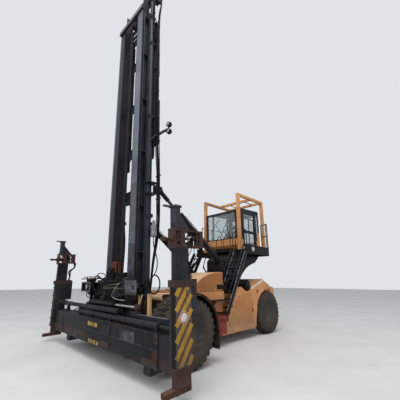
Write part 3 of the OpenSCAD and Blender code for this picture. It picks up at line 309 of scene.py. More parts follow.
# A brighter copy of the peach for the cab shell: painted light, against the shade it falls in under the
# platform.
M["lit_shell"] = paint(
    "shell_paint_painted_light", (226, 158, 98), (236, 176, 120), (188, 124, 74), dust=(160, 130, 100), rust=(112, 62, 36),
    rust_at=0.72, wear=0.5, wear_colour=(110, 82, 62), streak=0.2, rough=0.42)
M["guard"] = paint(
    "guard_paint", (208, 146, 88), (218, 164, 112), (164, 106, 62), dust=(136, 114, 92), rust=(98, 58, 38),
    rust_at=0.64, wear=0.8, wear_colour=(88, 66, 52), streak=0.32, dusty=0.45)
M["dark"] = paint(
    "mast_paint", (31, 34, 43), (44, 48, 58), (19, 21, 28), dust=(62, 63, 66), rust=(66, 42, 34),
    rust_at=0.68, wear_colour=(92, 92, 94), dusty=0.34, low=0.9)
M["inner"] = paint(
    "inner_mast_paint", (33, 30, 39), (46, 42, 52), (20, 17, 23), dust=(60, 55, 59), rust=(70, 40, 34),
    rust_at=0.6, wear=0.6, wear_colour=(100, 98, 98), streak=0.36, rough=0.42, low=0.9)
M["beam"] = paint(
    "beam_paint", (27, 27, 32), (42, 42, 48), (16, 16, 20), dust=(64, 62, 62), rust=(76, 46, 34),
    rust_at=0.63, wear=0.85, wear_colour=(100, 96, 92), streak=0.38, rough=0.6, low=0.6, bump=0.4,
    bands=((0.4, 0.51, 0.7, (70, 44, 36)), (1.6, 1.765, 0.62, (78, 54, 48))))
# The flange paint's bands darken it towards the bottom: painted shade, standing in for the occlusion by the
# ground and the dark surroundings.
M["flange"] = paint(
    "flange_paint_painted_shade", (90, 95, 108), (110, 115, 126), (62, 66, 78), dust=(112, 112, 116), rust=(82, 54, 42),
    rust_at=0.68, wear_colour=(122, 120, 118), streak=0.45, dusty=0.4, rough=0.5,
    bands=((0.2, 2.6, 0.9, (24, 26, 33)), (2.6, 4.2, 0.6, (36, 38, 47))))
M["black"] = paint(
    "black_paint", (13, 13, 16), (24, 23, 26), (8, 8, 10), dust=(47, 43, 42), rust=(66, 42, 32),
    rust_at=0.69, wear=0.6, wear_colour=(80, 76, 72), streak=0.2, rough=0.5, low=0.7)
M["fender"] = paint(
    "fender_paint", (29, 23, 20), (46, 36, 31), (17, 14, 14), dust=(72, 61, 51), rust=(84, 52, 36),
    rust_at=0.56, wear=0.8, wear_colour=(96, 80, 68), streak=0.4, dusty=0.45, rough=0.65, low=1.0)
M["red"] = paint(
    "red_paint", (158, 32, 28), (172, 48, 40), (106, 20, 20), dust=(120, 74, 62), rust=(80, 42, 32),
    rust_at=0.62, wear=0.6, wear_colour=(104, 78, 70), streak=0.32, dusty=0.45, rough=0.5)
M["rust"] = rusted("rusted_steel", (74, 48, 38), (104, 74, 60), (40, 29, 27))
M["foot"] = rusted("rusted_foot", (84, 52, 38), (112, 78, 58), (46, 32, 27))
M["cast"] = rusted("grey_casting", (80, 80, 78), (112, 110, 106), (48, 46, 45), 0.75)
M["tyre"] = rubber("tyre_rubber", (30, 28, 26), (92, 84, 74), 0.66, 1.6)
M["hose"] = rubber("hose_rubber", (11, 11, 13), (40, 38, 37), 0.22, 0.7, 3.0)
M["seal"] = rubber("seal_rubber", (20, 20, 22), (54, 52, 50), 0.3, 0.6, 3.0)
M["chrome"] = bright("chrome_rod", (205, 207, 210), (120, 118, 116))
M["steel"] = bright("worn_steel", (150, 150, 150), (84, 82, 80), 0.35, 0.85)
M["chain"] = bright("chain_steel", (50, 47, 45), (24, 23, 23), 0.5, 0.6)
M["rim"] = paint(
    "rim_paint", (38, 38, 42), (56, 54, 54), (24, 24, 28), dust=(88, 82, 74), rust=(92, 60, 44), rust_at=0.6,
    streak=0.2, dusty=0.5, rough=0.6, low=1.2)
M["glass"] = pane("cab_pane", (232, 238, 240), (206, 210, 210))
M["cover"] = rubber("seat_cover", (38, 38, 42), (72, 70, 68), 0.3, 1.6, 2.6)
M["trim"] = paint(
    "cab_trim", (40, 41, 45), (58, 60, 64), (26, 26, 30), dust=(90, 88, 84), rust_at=0.9, wear=0.3,
    streak=0.1, dusty=0.35, rough=0.6)
# Black for the latches, and for sheets behind slots and in pockets, where it is painted shade.
M["grille"] = paint(
    "black_and_painted_shade", (30, 30, 33), (44, 44, 46), (18, 18, 20), dust=(84, 78, 70), rust_at=0.9, wear=0.4,
    streak=0.2, dusty=0.5, rough=0.7)
M["yellow"] = paint(
    "yellow_mark", (172, 122, 26), (186, 140, 44), (118, 84, 28), dust=(96, 82, 62), rust=(66, 58, 52),
    rust_at=0.585, wear=0.9, wear_colour=(70, 64, 58), streak=0.4, rough=0.55)
M["mark"] = paint(
    "bright_mark", (206, 168, 44), (216, 184, 84), (150, 116, 40), dust=(110, 96, 70), rust=(70, 60, 52),
    rust_at=0.64, wear=0.8, streak=0.25, rough=0.55)
# Darker peach for the hood's side face: painted shade.
M["arc"] = paint(
    "hood_side_painted_shade", (160, 101, 56), (176, 118, 72), (138, 84, 48), dust=(140, 112, 84), rust=(104, 60, 36),
    rust_at=0.74, wear=0.3, streak=0.15, rough=0.4, low=0.5)
M["post"] = paint(
    "post_paint", (46, 49, 59), (60, 64, 75), (30, 32, 40), dust=(74, 74, 78), rust=(66, 42, 34),
    rust_at=0.68, wear_colour=(92, 92, 94), low=0.5,
    bands=((1.7, 2.215, 0.85, (17, 17, 21)), (2.215, 2.565, 0.92, (72, 42, 34)),
           (0.0, 0.46, 0.95, (74, 46, 35))))
M["grime"] = bright("grimy_rod", (74, 74, 78), (34, 33, 35), 0.35, 0.6)
M["block"] = paint(
    "valve_block", (84, 84, 90), (112, 112, 116), (50, 50, 56), dust=(96, 90, 82), rust=(72, 50, 40),
    rust_at=0.64, wear=0.8, streak=0.4, dusty=0.4)
M["copper"] = rusted("orange_rust", (112, 58, 44), (140, 84, 66), (62, 36, 32))
M["bar"] = paint(
    "pale_bar_paint", (178, 138, 84), (196, 162, 112), (132, 98, 58), dust=(116, 98, 74), rust_at=0.6,
    streak=0.4, dusty=0.5, rough=0.5)
M["ground"] = paint(
    "stripe_ground", (66, 60, 56), (84, 78, 74), (46, 42, 42), dust=(98, 92, 86), rust=(88, 52, 36),
    rust_at=0.6, wear_colour=(110, 104, 98), streak=0.45, dusty=0.4, rough=0.6, low=0.6)
M["navy"] = paint(
    "beam_right_paint", (12, 13, 18), (22, 23, 28), (7, 7, 10), dust=(36, 35, 37), rust=(70, 44, 34),
    wear=0.8, wear_colour=(84, 82, 80), streak=0.4, rough=0.6, low=0.5)
M["tan"] = paint(
    "tan_rod", (122, 106, 80), (142, 126, 100), (92, 78, 58), dust=(138, 128, 112), wear=0.5, rough=0.6)
# Near-black for the front faces of the sleeves, darker than their sides.
M["front_face_black"] = paint(
    "sleeve_black", (8, 8, 10), (13, 13, 16), (5, 5, 7), dust=(27, 26, 27), rust=(58, 40, 34), rust_at=0.72,
    wear=0.6, streak=0.2, dusty=0.2, rough=0.6, low=0.5)
M["white"] = paint(
    "pale_plate", (204, 202, 196), (220, 218, 214), (170, 164, 156), dust=(140, 132, 120), rust_at=0.7,
    wear=0.5, dusty=0.5, rough=0.5)
M["brown"] = paint(
    "brown_step", (84, 64, 58), (104, 82, 74), (56, 44, 42), dust=(128, 110, 98), rust_at=0.6, wear=0.6,
    dusty=0.55, rough=0.7)
M["lamp"] = lens("lamp_lens", (225, 228, 228), (160, 166, 170))
M["amber"] = lens("amber_lens", (210, 130, 40), (160, 90, 20))
M["tail"] = lens("red_lens", (150, 24, 22), (90, 12, 12))
M["pipe"] = paint(
    "pale_pipe", (146, 146, 140), (170, 170, 164), (110, 108, 102), dust=(130, 124, 114), wear=0.5)
M["grey"] = paint(
    "grey_can", (98, 106, 112), (128, 134, 138), (62, 66, 70), dust=(120, 116, 110), wear=0.5, dusty=0.5)

finish_of = {
    "main_frame": "frame", "drive_axle": "black", "steer_axle": "black", "counterweight": "peach",
    "engine_block": "cast", "rear_hood": "peach", "side_panels": "peach", "deck_hood": "peach",
    "fenders": "fender", "side_boxes": "red", "air_cleaner": "black", "cab_pedestal": "black",
    "cab_platform": "black", "access_ladder": "black", "cab_shell": "lit_shell", "cab_frame": "dark",
    "cab_glass": "glass", "cab_door": "dark", "door_glass": "glass", "cab_interior": "trim",
    "cab_guard": "guard", "knuckle_L": "black", "knuckle_R": "black", "steer_tyre_L": "tyre",
    "steer_tyre_R": "tyre", "drive_tyres_L": "tyre", "drive_tyres_R": "tyre", "steer_rim_L": "rim",
    "steer_rim_R": "rim", "drive_rims_L": "rim", "drive_rims_R": "rim", "outer_mast": "dark",
    "tilt_barrels": "black", "tilt_rods": "grime", "inner_mast": "inner", "lift_chains": "chain",
    "carriage": "black", "spreader_beam": "beam", "arm_L": "beam", "arm_R": "beam",
    "post_L": "post", "post_R": "post", "lock_L": "rust", "lock_R": "rust",
}
for node, kind in finish_of.items():
    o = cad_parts[node]
    if not o.material_slots:
        o.data.materials.append(None)
    for s in o.material_slots:
        s.material = M[kind]


# Mesh building
SIDES = (("L", 1), ("R", -1))
FRONT = (1, 0, 0)
BACK = (-1, 0, 0)
ACROSS = (0, 1, 0)
UP = (0, 0, 1)


def several(value):
    """The places of a bolt pattern along one axis, as a series."""
    return value if isinstance(value, (tuple, range)) else (value,)


def circle(centre, a, b, radius, count, turn=0.0):
    """Points round a centre in the plane of two unit vectors."""
    angles = [2 * math.pi * i / count + turn for i in range(count)]
    return [centre + (a * math.cos(t) + b * math.sin(t)) * radius for t in angles]


class Shape:
    """Faces gathered into one joined mesh, in millimetres of a chosen frame; side -1 mirrors it."""

    def __init__(self, place=car, side=1):
        self.place = place
        self.side = side
        self.v = []
        self.f = []
        self.m = []
        self.kind = 0

    def flip(self, p):
        """A point or direction, on the side that is being made."""
        return Vector((p[0], self.side * p[1], p[2]))

    def both(self):
        """What follows in the loop is made on the left, then on the right."""
        for self.side in (1, -1):
            yield self.side
        self.side = 1

    def add(self, verts, faces):
        k = len(self.v)
        self.v += [self.place(p) for p in verts]
        self.f += [tuple(i + k for i in f) for f in faces]
        self.m += [self.kind] * len(faces)

    def box(self, x0, x1, y0, y1, z0, z1):
        v = [self.flip((x, y, z)) for x in (x0, x1) for y in (y0, y1) for z in (z0, z1)]
        self.add(v, [(0, 1, 3, 2), (4, 6, 7, 5), (0, 4, 5, 1), (2, 3, 7, 6), (0, 2, 6, 4), (1, 5, 7, 3)])

    def boxes(self, *rows):
        """Boxes from rows of x0, x1, y0, y1, z0, z1."""
        for row in rows:
            self.box(*row)

    def slab(self, pts, y0, y1):
        """A flat outline in the XZ plane, given a thickness along Y."""
        n = len(pts)
        v = [self.flip((x, y, z)) for y in (y0, y1) for x, z in pts]
        f = [tuple(range(n)), tuple(range(2 * n - 1, n - 1, -1))]
        f += [((i + 1) % n, i, i + n, (i + 1) % n + n) for i in range(n)]
        self.add(v, f)

    def rod(self, p, q, r, n=14, r2=None):
        p = self.flip(p)
        q = self.flip(q)
        d = (q - p).normalized()
        a = d.orthogonal().normalized()
        b = d.cross(a)
        r2 = r if r2 is None else r2
        v = circle(p, a, b, r, n) + circle(q, a, b, r2, n)
        f = [(i, (i + 1) % n, (i + 1) % n + n, i + n) for i in range(n)]
        f += [tuple(range(n - 1, -1, -1)), tuple(range(n, 2 * n))]
        self.add(v, f)

    def turned(self, p, axis, profile, n=32, closed=False):
        """A profile of (distance along the axis, radius) turned about the axis."""
        p = self.flip(p)
        d = self.flip(axis).normalized()
        a = d.orthogonal().normalized()
        b = d.cross(a)
        v = []
        for h, r in profile:
            v += circle(p + d * h, a, b, r, n)
        f = []
        m = len(profile)
        for k in range(m if closed else m - 1):
            for i in range(n):
                j = (i + 1) % n
                k2 = (k + 1) % m
                f.append((k * n + i, k * n + j, k2 * n + j, k2 * n + i))
        if not closed:
            f.append(tuple(range(n - 1, -1, -1)))
            f.append(tuple(range((m - 1) * n, m * n)))
        self.add(v, f)

    def tube(self, pts, r, n=9, smooth=4):
        """A round hose or pipe along points, smoothed between them."""
        pts = [self.flip(p) for p in pts]
        if smooth > 1 and len(pts) > 2:
            ext = [2 * pts[0] - pts[1]] + pts + [2 * pts[-1] - pts[-2]]
            out = []
            for i in range(1, len(ext) - 2):
                p0, p1, p2, p3 = ext[i - 1:i + 3]
                for k in range(smooth):
                    t = k / smooth
                    out.append(0.5 * ((2 * p1) + (p2 - p0) * t + (2 * p0 - 5 * p1 + 4 * p2 - p3) * t * t
                                      + (3 * p1 - p0 - 3 * p2 + p3) * t ** 3))
            out.append(pts[-1])
            pts = out
        v = []
        a = None
        for i, p in enumerate(pts):
            d = (pts[min(i + 1, len(pts) - 1)] - pts[max(i - 1, 0)]).normalized()
            a = d.orthogonal().normalized() if a is None else (a - d * a.dot(d)).normalized()
            b = d.cross(a)
            v += circle(p, a, b, r, n)
        f = []
        for i in range(len(pts) - 1):
            for k in range(n):
                j = (k + 1) % n
                f.append((i * n + k, i * n + j, (i + 1) * n + j, (i + 1) * n + k))
        f.append(tuple(range(n - 1, -1, -1)))
        f.append(tuple(range((len(pts) - 1) * n, len(pts) * n)))
        self.add(v, f)

    def bolt(self, p, axis, r=11, h=9):
        """A washer and a six-sided head."""
        p = Vector(p)
        d = Vector(axis).normalized()
        self.rod(p - d, p + d * 2.5, r * 1.45, 12)
        self.rod(p, p + d * h, r, 6)

    def bolts(self, xs, ys, zs, axis, r=11, h=9):
        """A bolt at every meeting of the given places; a place is a number or several."""
        for x in several(xs):
            for y in several(ys):
                for z in several(zs):
                    self.bolt((x, y, z), axis, r, h)

    def band(self, p, axis, inner, outer, width, n):
        """A clamp band round a cylinder."""
        self.turned(p, axis, [(0, inner), (0, outer), (width, outer), (width, inner)], n)

    def nut_ring(self, p, axis, ring_r, count, r=11, h=9, turn=0.0):
        """Bolts on a circle; the circle is laid out on the side that is being made."""
        p = self.flip(p)
        d = self.flip(axis).normalized()
        a = d.orthogonal().normalized()
        b = d.cross(a)
        for place in circle(p, a, b, ring_r, count, turn):
            self.bolt(self.flip(place), axis, r, h)

    def build(self, name, body, mats, slot, bevel=0.0, smooth=40):
        mesh = bpy.data.meshes.new(name)
        mesh.from_pydata([tuple(p) for p in self.v], [], self.f)
        names = [mats] if isinstance(mats, str) else mats
        for m in names:
            mesh.materials.append(M[m])
        mesh.polygons.foreach_set("material_index", self.m)
        mesh.validate()
        closed(mesh)
        mesh.update()
        o = linked(name, mesh)
        if bevel:
            b = o.modifiers.new("edge", "BEVEL")
            b.width = bevel
            b.segments = 2
            b.limit_method = "ANGLE"
            b.angle_limit = math.radians(35)
            b.harden_normals = True
        if smooth:
            for p in mesh.polygons:
                p.use_smooth = True
            mesh.set_sharp_from_angle(angle=math.radians(smooth))
        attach(o, body)
        return o


# Tyres with shoulder lugs, on the same circle and width as the plain ones
TYRE_R = 685
AXLE_Z = TYRE_R
LUGS = 30
GROOVE = 30
DRIVE_Y = (1932.5, 1507.5)
STEER_X = -4550
STEER_Y = 1012.5
# Sidewall from the bead outwards, as (radius, half width)
WALL = [(320, 128), (332, 150), (362, 170), (392, 176), (400, 183), (430, 187), (470, 187.5), (540, 186),
        (548, 182), (575, 178), (606, 170)]


def tyre(shape, centre, phase):
    """One tyre: ribbed sidewalls, and lugs that stand where the far shoulder has its grooves."""
    x, y, z = centre
    # Four sections in each pitch, as parts of it: groove, lug, lug, groove
    steps = (0.0, 0.05, 0.52, 0.57)
    rows = []
    for c in range(LUGS * len(steps)):
        lug = c % len(steps) in (1, 2)
        halves = []
        for side in (1, -1):
            drop = 0 if lug == (side == 1) else GROOVE
            halves.append([(r, side * h) for r, h in WALL]
                          + [(640 - drop * 0.5, side * (163 - drop * 0.25)),
                             (672 - drop, side * (146 - drop * 0.2)),
                             (TYRE_R - 1 - drop, side * 118), (TYRE_R - drop, side * 50)])
        full = halves[0] + [(TYRE_R - 1, 18), (TYRE_R - 1, -18)] + halves[1][::-1]
        t = 2 * math.pi * ((c // len(steps) + steps[c % len(steps)]) / LUGS) + phase
        rows.append([(x + r * math.cos(t), y + h, z + r * math.sin(t)) for r, h in full])
    n = len(rows[0])
    faces = []
    for c in range(len(rows)):
        d = (c + 1) % len(rows)
        for k in range(n):
            j = (k + 1) % n
            faces.append((c * n + k, c * n + j, d * n + j, d * n + k))
    shape.add([p for row in rows for p in row], faces)


for side, s in SIDES:
    pair = Shape()
    for y, phase in zip(DRIVE_Y, (0.05, 0.11)):
        tyre(pair, (0, s * y, AXLE_Z), phase)
    o = pair.build("drive_tread_" + side, "drive_wheels_" + side, "tyre", "tyre", smooth=32)
    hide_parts("drive_tyres_" + side)
    single = Shape()
    tyre(single, (STEER_X, s * STEER_Y, AXLE_Z), 0.02)
    o = single.build("steer_tread_" + side, "steer_wheel_" + side, "tyre", "tyre", smooth=32)
    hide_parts("steer_tyre_" + side)

# Side panels: slotted field over a black sheet, painted shade seen through the slots, bare pale strip,
# latches and bolts
PANEL_Y = 1145
FIELD = [(-2252, 436), (-2800, 1276), (-3545, 1352), (-3622, 1000), (-3584, 436)]


def across(poly, p, d):
    """Where a line through p along d enters and leaves a convex outline, or None."""
    lo, hi = -1e9, 1e9
    n = len(poly)
    area = sum(poly[i][0] * poly[(i + 1) % n][1] - poly[(i + 1) % n][0] * poly[i][1] for i in range(n))
    sign = 1 if area > 0 else -1
    for i in range(n):
        ax, az = poly[i]
        bx, bz = poly[(i + 1) % n]
        nx, nz = -(bz - az) * sign, (bx - ax) * sign
        off = (p[0] - ax) * nx + (p[1] - az) * nz
        along = d[0] * nx + d[1] * nz
        if abs(along) < 1e-9:
            if off < 0:
                return None
            continue
        t = -off / along
        if along > 0:
            lo = max(lo, t)
        else:
            hi = min(hi, t)
    return (lo, hi) if hi > lo else None


def strips(shape, poly, angle, pitch, width, y0, y1):
    """Flat bars across an outline, all at one angle."""
    d = (math.cos(math.radians(angle)), math.sin(math.radians(angle)))
    nrm = (-d[1], d[0])
    mid = (sum(p[0] for p in poly) / len(poly), sum(p[1] for p in poly) / len(poly))
    for k in range(-40, 41):
        p = (mid[0] + nrm[0] * k * pitch, mid[1] + nrm[1] * k * pitch)
        span = across(poly, p, d)
        if not span or span[1] - span[0] < width:
            continue
        a, b = span
        h = width / 2
        pts = [(p[0] + d[0] * t + nrm[0] * w, p[1] + d[1] * t + nrm[1] * w)
               for t, w in ((a, -h), (b, -h), (b, h), (a, h))]
        shape.slab(pts, y0, y1)


for side, s in SIDES:
    # Black sheet behind the slots: painted shade of the inside.
    back = Shape(side=s)
    back.slab(FIELD, PANEL_Y, PANEL_Y + 0.8)
    back.build("panel_slot_shade_" + side, "chassis", "grille", "black_paint", smooth=0)
    lat = Shape(side=s)
    strips(lat, FIELD, 33, 74, 40, PANEL_Y + 0.8, PANEL_Y + 4.4)
    strips(lat, FIELD, -33, 74, 40, PANEL_Y + 0.8, PANEL_Y + 4.0)
    n = len(FIELD)
    for i in range(n):
        ax, az = FIELD[i]
        bx, bz = FIELD[(i + 1) % n]
        dx, dz = bx - ax, bz - az
        ln = math.hypot(dx, dz)
        ox, oz = -dz / ln * 14, dx / ln * 14
        lat.slab([(ax - ox, az - oz), (bx - ox, bz - oz), (bx + ox, bz + oz), (ax + ox, az + oz)],
                 PANEL_Y + 0.8, PANEL_Y + 5.6)
    lat.build("panel_slots_" + side, "chassis", "peach", "body_peach", smooth=0)
    trim = Shape(side=s)
    # Bare pale strip along the sloping top edge, where the real one is lettered
    trim.kind = 1
    trim.slab([(-3505, 1502), (-4200, 1732), (-4262, 1748), (-4330, 1716), (-4200, 1652), (-3560, 1440)],
              1149.5, 1151.5)
    trim.kind = 0
    for x, z in ((-2270, 640), (-2480, 1010), (-3560, 820), (-3900, 1380)):
        trim.slab([(x - 22, z - 46), (x + 22, z - 46), (x + 22, z + 46), (x - 22, z + 46)], 1160, 1166)
        trim.rod((x, 1164, z - 30), (x, 1184, z - 30), 10, 10)
        trim.rod((x, 1178, z - 36), (x, 1178, z + 40), 8, 10)
    trim.kind = 2
    for x, z in ((-2100, 330), (-2500, 330), (-2900, 330), (-3300, 330), (-3640, 340), (-2880, 1470),
                 (-3060, 1470), (-3820, 1010), (-3930, 1180), (-4130, 1350), (-4420, 1480),
                 (-4640, 1540)):
        trim.bolt((x, 1150, z), ACROSS, 10, 7)
    trim.build("panel_trim_" + side, "chassis", ["grille", "white", "peach"], "body_peach", 0.0015)

# Hazard stripes and a blank round plate on the outer face of each post sleeve
STRIPE_FIELD = [(674, -166), (996, -166), (996, 958), (674, 958)]
for side, s in SIDES:
    gr = Shape(mast, s)
    gr.box(672, 998, 3000.1, 3001.3, -168, 958)
    # The front face takes a near-black sheet, darker than the side face.
    gr.kind = 1
    gr.box(1000.1, 1001.4, 2853, 2998, -168, 958)
    gr.build("sleeve_faces_" + side, "arm_" + side, ["ground", "front_face_black"], "dark_paint", 0.0005, smooth=0)
    st = Shape(mast, s)
    strips(st, STRIPE_FIELD, 126, 129, 78, 3001.3, 3003.0)
    st.build("sleeve_stripes_" + side, "arm_" + side, "yellow", "rust_brown", smooth=0)
    sign = Shape(mast, s)
    sign.turned((838, 3002, 505), ACROSS, [(0, 92), (1.5, 94), (2.5, 92), (2.5, 0.1)], 36)
    sign.kind = 1
    sign.turned((838, 3004.4, 505), ACROSS, [(0, 88), (0.9, 88), (0.9, 72), (0, 72)], 36, closed=True)
    sign.build("sleeve_sign_" + side, "arm_" + side, ["white", "red"], "dark_paint")
    # Weld beads, bolts and the packer plates of the sleeve
    sl = Shape(mast, s)
    for w in (-170, 960):
        sl.rod((672, 3002, w), (998, 3002, w), 5, 8)
        sl.rod((1002, 2852, w), (1002, 2998, w), 5, 8)
    for w in (985, 1045):
        sl.bolts((580, 660, 760, 880, 990), 3010, w, ACROSS, 13, 5)
        sl.bolts(1030, (2870, 2930, 2985), w, FRONT, 13, 10)
    sl.bolts((700, 835, 970), 3010, (-215, -190), ACROSS, 9, 5)
    for w in (40, 260, 480, 700, 860):
        sl.box(999, 1006, 2858, 2884, w, w + 60)
    sl.kind = 1
    sl.box(999.8, 1003, 2853, 2890, -160, 950)
    # Cover bolts and hinge of the box behind the sleeve
    sl.bolts(560, 2960, (520, 700, 900), ACROSS, 11, 8)
    sl.box(530, 640, 2961, 2966, 540, 950)
    sl.kind = 0
    # Rusty clevis and pin nut at the extension rod's eye
    sl.turned((820, 2760, 300 if s > 0 else 435), ACROSS, [(0, 40), (8, 50), (30, 50), (33, 44), (33, 0.1)],
              22)
    sl.build("sleeve_detail_" + side, "arm_" + side, ["rust", "dark"], "rust_brown", 0.001)

# Front face of the spreader: toothed strip, blank yellow marks, wear patches, bolts
sp = Shape(mast)
# U of the beam's front face
BF = 904
for k in range(45):
    y = -870 + k * 56
    sp.box(BF - 62, BF + 9, y, y + 30, 203, 219)
sp.box(BF - 66, BF - 2, -890, 1670, 203, 210)
sp.kind = 1
for y0, y1, w0, w1 in ((-430, -330, 46, 134), (-300, -210, 50, 130), (-170, -110, 48, 132),
                       (-60, 80, 48, 130), (-340, -250, -312, -226), (-210, -130, -310, -230),
                       (-80, 30, -308, -226), (80, 200, -310, -232)):
    sp.box(BF - 0.5, BF + 1.8, y0, y1, w0, w1)
sp.kind = 2
for y0, y1, w0, w1 in ((2250, 2396, -318, -60), (2300, 2394, 60, 198), (-2780, -2650, -320, -150),
                       (1640, 1760, -318, -262), (-1010, -900, -318, -210), (860, 940, 110, 200)):
    sp.box(BF - 0.5, BF + 1.6, y0, y1, w0, w1)
sp.kind = 3
sp.box(BF - 0.5, BF + 0.6, -560, 2396, -321, 201)
sp.kind = 4
sp.box(BF - 0.5, BF + 5, 1190, 1680, -45, 140)
sp.bolts(BF + 5, (1215, 1655), (-25, 120), FRONT, 9)
sp.kind = 0
for y in (-2250, -2140, 380, 520, 670):
    for w in (-150, 60) if y < 0 else (-10, 120):
        sp.bolt((BF + 14, y, w), FRONT, 11, 8)
sp.bolts(BF, (2345, 2380), (-280, -170, -60, 60, 170), FRONT, 10, 8)
for y in (-1900, -1350, -700, 900, 1500, 2050):
    sp.rod((BF + 1, y, -322), (BF + 1, y, 202), 4, 8)
sp.rod((BF + 1, -2780, -40), (BF + 1, 2390, -40), 3.5, 8)
sp.build("beam_front_detail", "spreader", ["beam", "mark", "rust", "navy", "flange"], "dark_paint", 0.001)

# Glands and bands of the spreader's cylinders
cy = Shape(mast)
for y, sgn, w in ((2352, 1, 300), (-2352, -1, 435)):
    cy.turned((820, y, w), (0, sgn, 0), [(-60, 66), (-10, 66), (-8, 62), (2, 62), (4, 50), (14, 50),
                                         (14, 33)], 24)
for y, sgn, w in ((-1202, -1, 300), (902, 1, 435)):
    cy.turned((820, y, w), (0, sgn, 0), [(-40, 63), (-2, 63), (6, 58), (6, 20), (26, 18), (26, 0.1)], 24)
for y in (-1000, -300, 1200, 1900):
    cy.band((820, y, 300), ACROSS, 58, 61, 36, 24)
    cy.box(812, 828, y, y + 36, 200, 250)
for y in (-1900, -700, 300):
    cy.band((820, y, 435), ACROSS, 54, 57, 36, 24)
cy.build("cylinder_fittings", "spreader", "black", "black_paint", 0.001)

# Hoses of the carriage, each as points and a radius
ho = Shape(mast)
FIRST_HOSES = [-260 + 95 * k for k in range(5)]
SECOND_HOSES = [300 + 90 * k for k in range(4)]
for k, y in enumerate(FIRST_HOSES):
    ho.tube([(540, y, 1055), (600, y + 30, 1130 + 18 * k), (690, y + 120, 1120 + 10 * k),
             (740, y + 260, 960), (735, y + 330, 760 - 20 * k), (700, y + 360, 600)], 15, 9)
for k, y in enumerate(SECOND_HOSES):
    ho.tube([(520, y, 1040), (560, y + 10, 1150), (640, y + 60, 1190 - 22 * k), (700, y + 170, 1080),
             (690, y + 250, 900), (650, y + 270, 780)], 13, 9)
for k in range(3):
    ho.tube([(470, 900 + 80 * k, 955), (455, 905 + 80 * k, 1100), (430, 930 + 70 * k, 1260 + 30 * k),
             (400, 880 + 40 * k, 1420), (392, 800 + 20 * k, 1600)], 14, 9)
# The round loop that hangs beside the valve block
loop = []
for k in range(26):
    t = 2 * math.pi * k / 22 + 2.6
    loop.append((470 - 2.2 * k, 1640 + 185 * math.cos(t), 960 + 185 * math.sin(t)))
ho.tube([(560, 1170, 900), (520, 1330, 990)] + loop + [(430, 1420, 1010), (420, 1200, 985)], 14, 9, 2)
for k in range(4):
    ho.tube([(600, 900 + 70 * k, 800), (640, 910 + 66 * k, 700 - 12 * k), (650, 800 + 60 * k, 590),
             (600, 560 + 50 * k, 560 - 20 * k), (520, 420 + 30 * k, 620)], 12, 8)
ho.tube([(560, -420, 1055), (640, -600, 1130), (650, -820, 1010), (600, -960, 820), (560, -990, 640)], 14, 9)
ho.tube([(520, -640, 1055), (560, -850, 1180), (540, -1080, 1120), (520, -1290, 1075)], 13, 9)
ho.tube([(500, -340, 1055), (520, -520, 1200), (500, -900, 1230), (480, -1180, 1130), (500, -1330, 1078)],
        11, 9)
ho.build("carriage_hoses", "carriage", "hose", "black_paint")

fi = Shape(mast)
for y in FIRST_HOSES:
    fi.rod((540, y, 1020), (540, y, 1075), 20, 6)
for y in SECOND_HOSES:
    fi.rod((520, y, 1030), (520, y, 1065), 18, 6)
for k in range(3):
    fi.rod((470, 900 + 80 * k, 940), (470, 900 + 80 * k, 985), 19, 6)
    fi.rod((640, 920 + 80 * k, 840), (672, 920 + 80 * k, 840), 22, 12)
    fi.rod((660, 920 + 80 * k, 900), (668, 920 + 80 * k, 990), 6, 8)
    fi.rod((668, 920 + 80 * k, 985), (668, 920 + 80 * k, 1005), 15, 12)
for y in (900, 1000, 1100, 1160):
    fi.box(560, 610, y, y + 40, 960, 985)
fi.box(520, 640, 700, 860, 1000, 1120)
fi.box(500, 600, 560, 680, 1050, 1100)
fi.rod((560, 780, 1110), (560, 780, 1180), 26, 14)
fi.rod((585, 1230, 900), (585, 1230, 960), 28, 12)
# Clamps and jagged bits over the top plate
for y in (-640, -520, -420, -180, 60, 210):
    fi.box(450, 520, y, y + 46, 1058, 1110)
    fi.bolt((485, y + 23, 1110), UP, 10, 12)
fi.bolts(470, (-1380, -1000, -600, 0, 600, 1000, 1380), (680, 960), FRONT, 14, 11)
fi.bolts(470, (-1000, -500, 0, 500, 1000), (-230, -90), FRONT, 13, 10)
fi.build("carriage_fittings", "carriage", "grime", "black_paint", 0.0015)

# Bent pale tube and rods over the carriage, seen against the dark
gd = Shape(mast)
gd.tube([(745, 652, 971), (745, 410, 761), (745, 474, 679), (745, 761, 646)], 9, 8, 2)
gd.tube([(745, 652, 971), (700, 664, 992), (610, 690, 1010)], 9, 8, 2)
gd.tube([(745, 761, 646), (700, 790, 640), (640, 840, 630)], 9, 8, 2)
gd.kind = 1
gd.tube([(600, -300, 850), (745, -94, 874), (745, 190, 940), (745, 572, 977), (620, 640, 1000)], 7, 8)
gd.tube([(600, -220, 880), (745, 25, 876), (745, 476, 895), (745, 634, 887), (620, 690, 880)], 7, 8)
gd.build("carriage_tubes", "carriage", ["pipe", "tan"], "rod_steel")

# Lamp box, its hood and the bracket at the right end of the carriage
lb = Shape(mast)
for w0, w1 in ((752, 782), (985, 1015)):
    lb.box(560, 640, -1700, -1090, w0, w1)
for y0, y1 in ((-1700, -1664), (-1130, -1090)):
    lb.box(560, 640, y0, y1, 782, 985)
lb.box(548, 562, -1700, -1090, 752, 1015)
lb.kind = 1
for y in (-1520, -1270):
    lb.turned((566, y, 884), FRONT, [(0, 84), (14, 80), (22, 56), (24, 0.1)], 22)
lb.kind = 0
for y in (-1520, -1270):
    lb.turned((563, y, 884), FRONT, [(0, 92), (26, 92), (26, 84), (0, 84)], 22, closed=True)
lb.kind = 2
lb.boxes((640, 652, -1700, -1664, 752, 1015), (640, 652, -1130, -1090, 752, 1015),
         (640, 652, -1664, -1130, 752, 786), (640, 652, -1664, -1130, 981, 1015))
lb.kind = 3
lb.box(430, 676, -1690, -900, 1084, 1112)
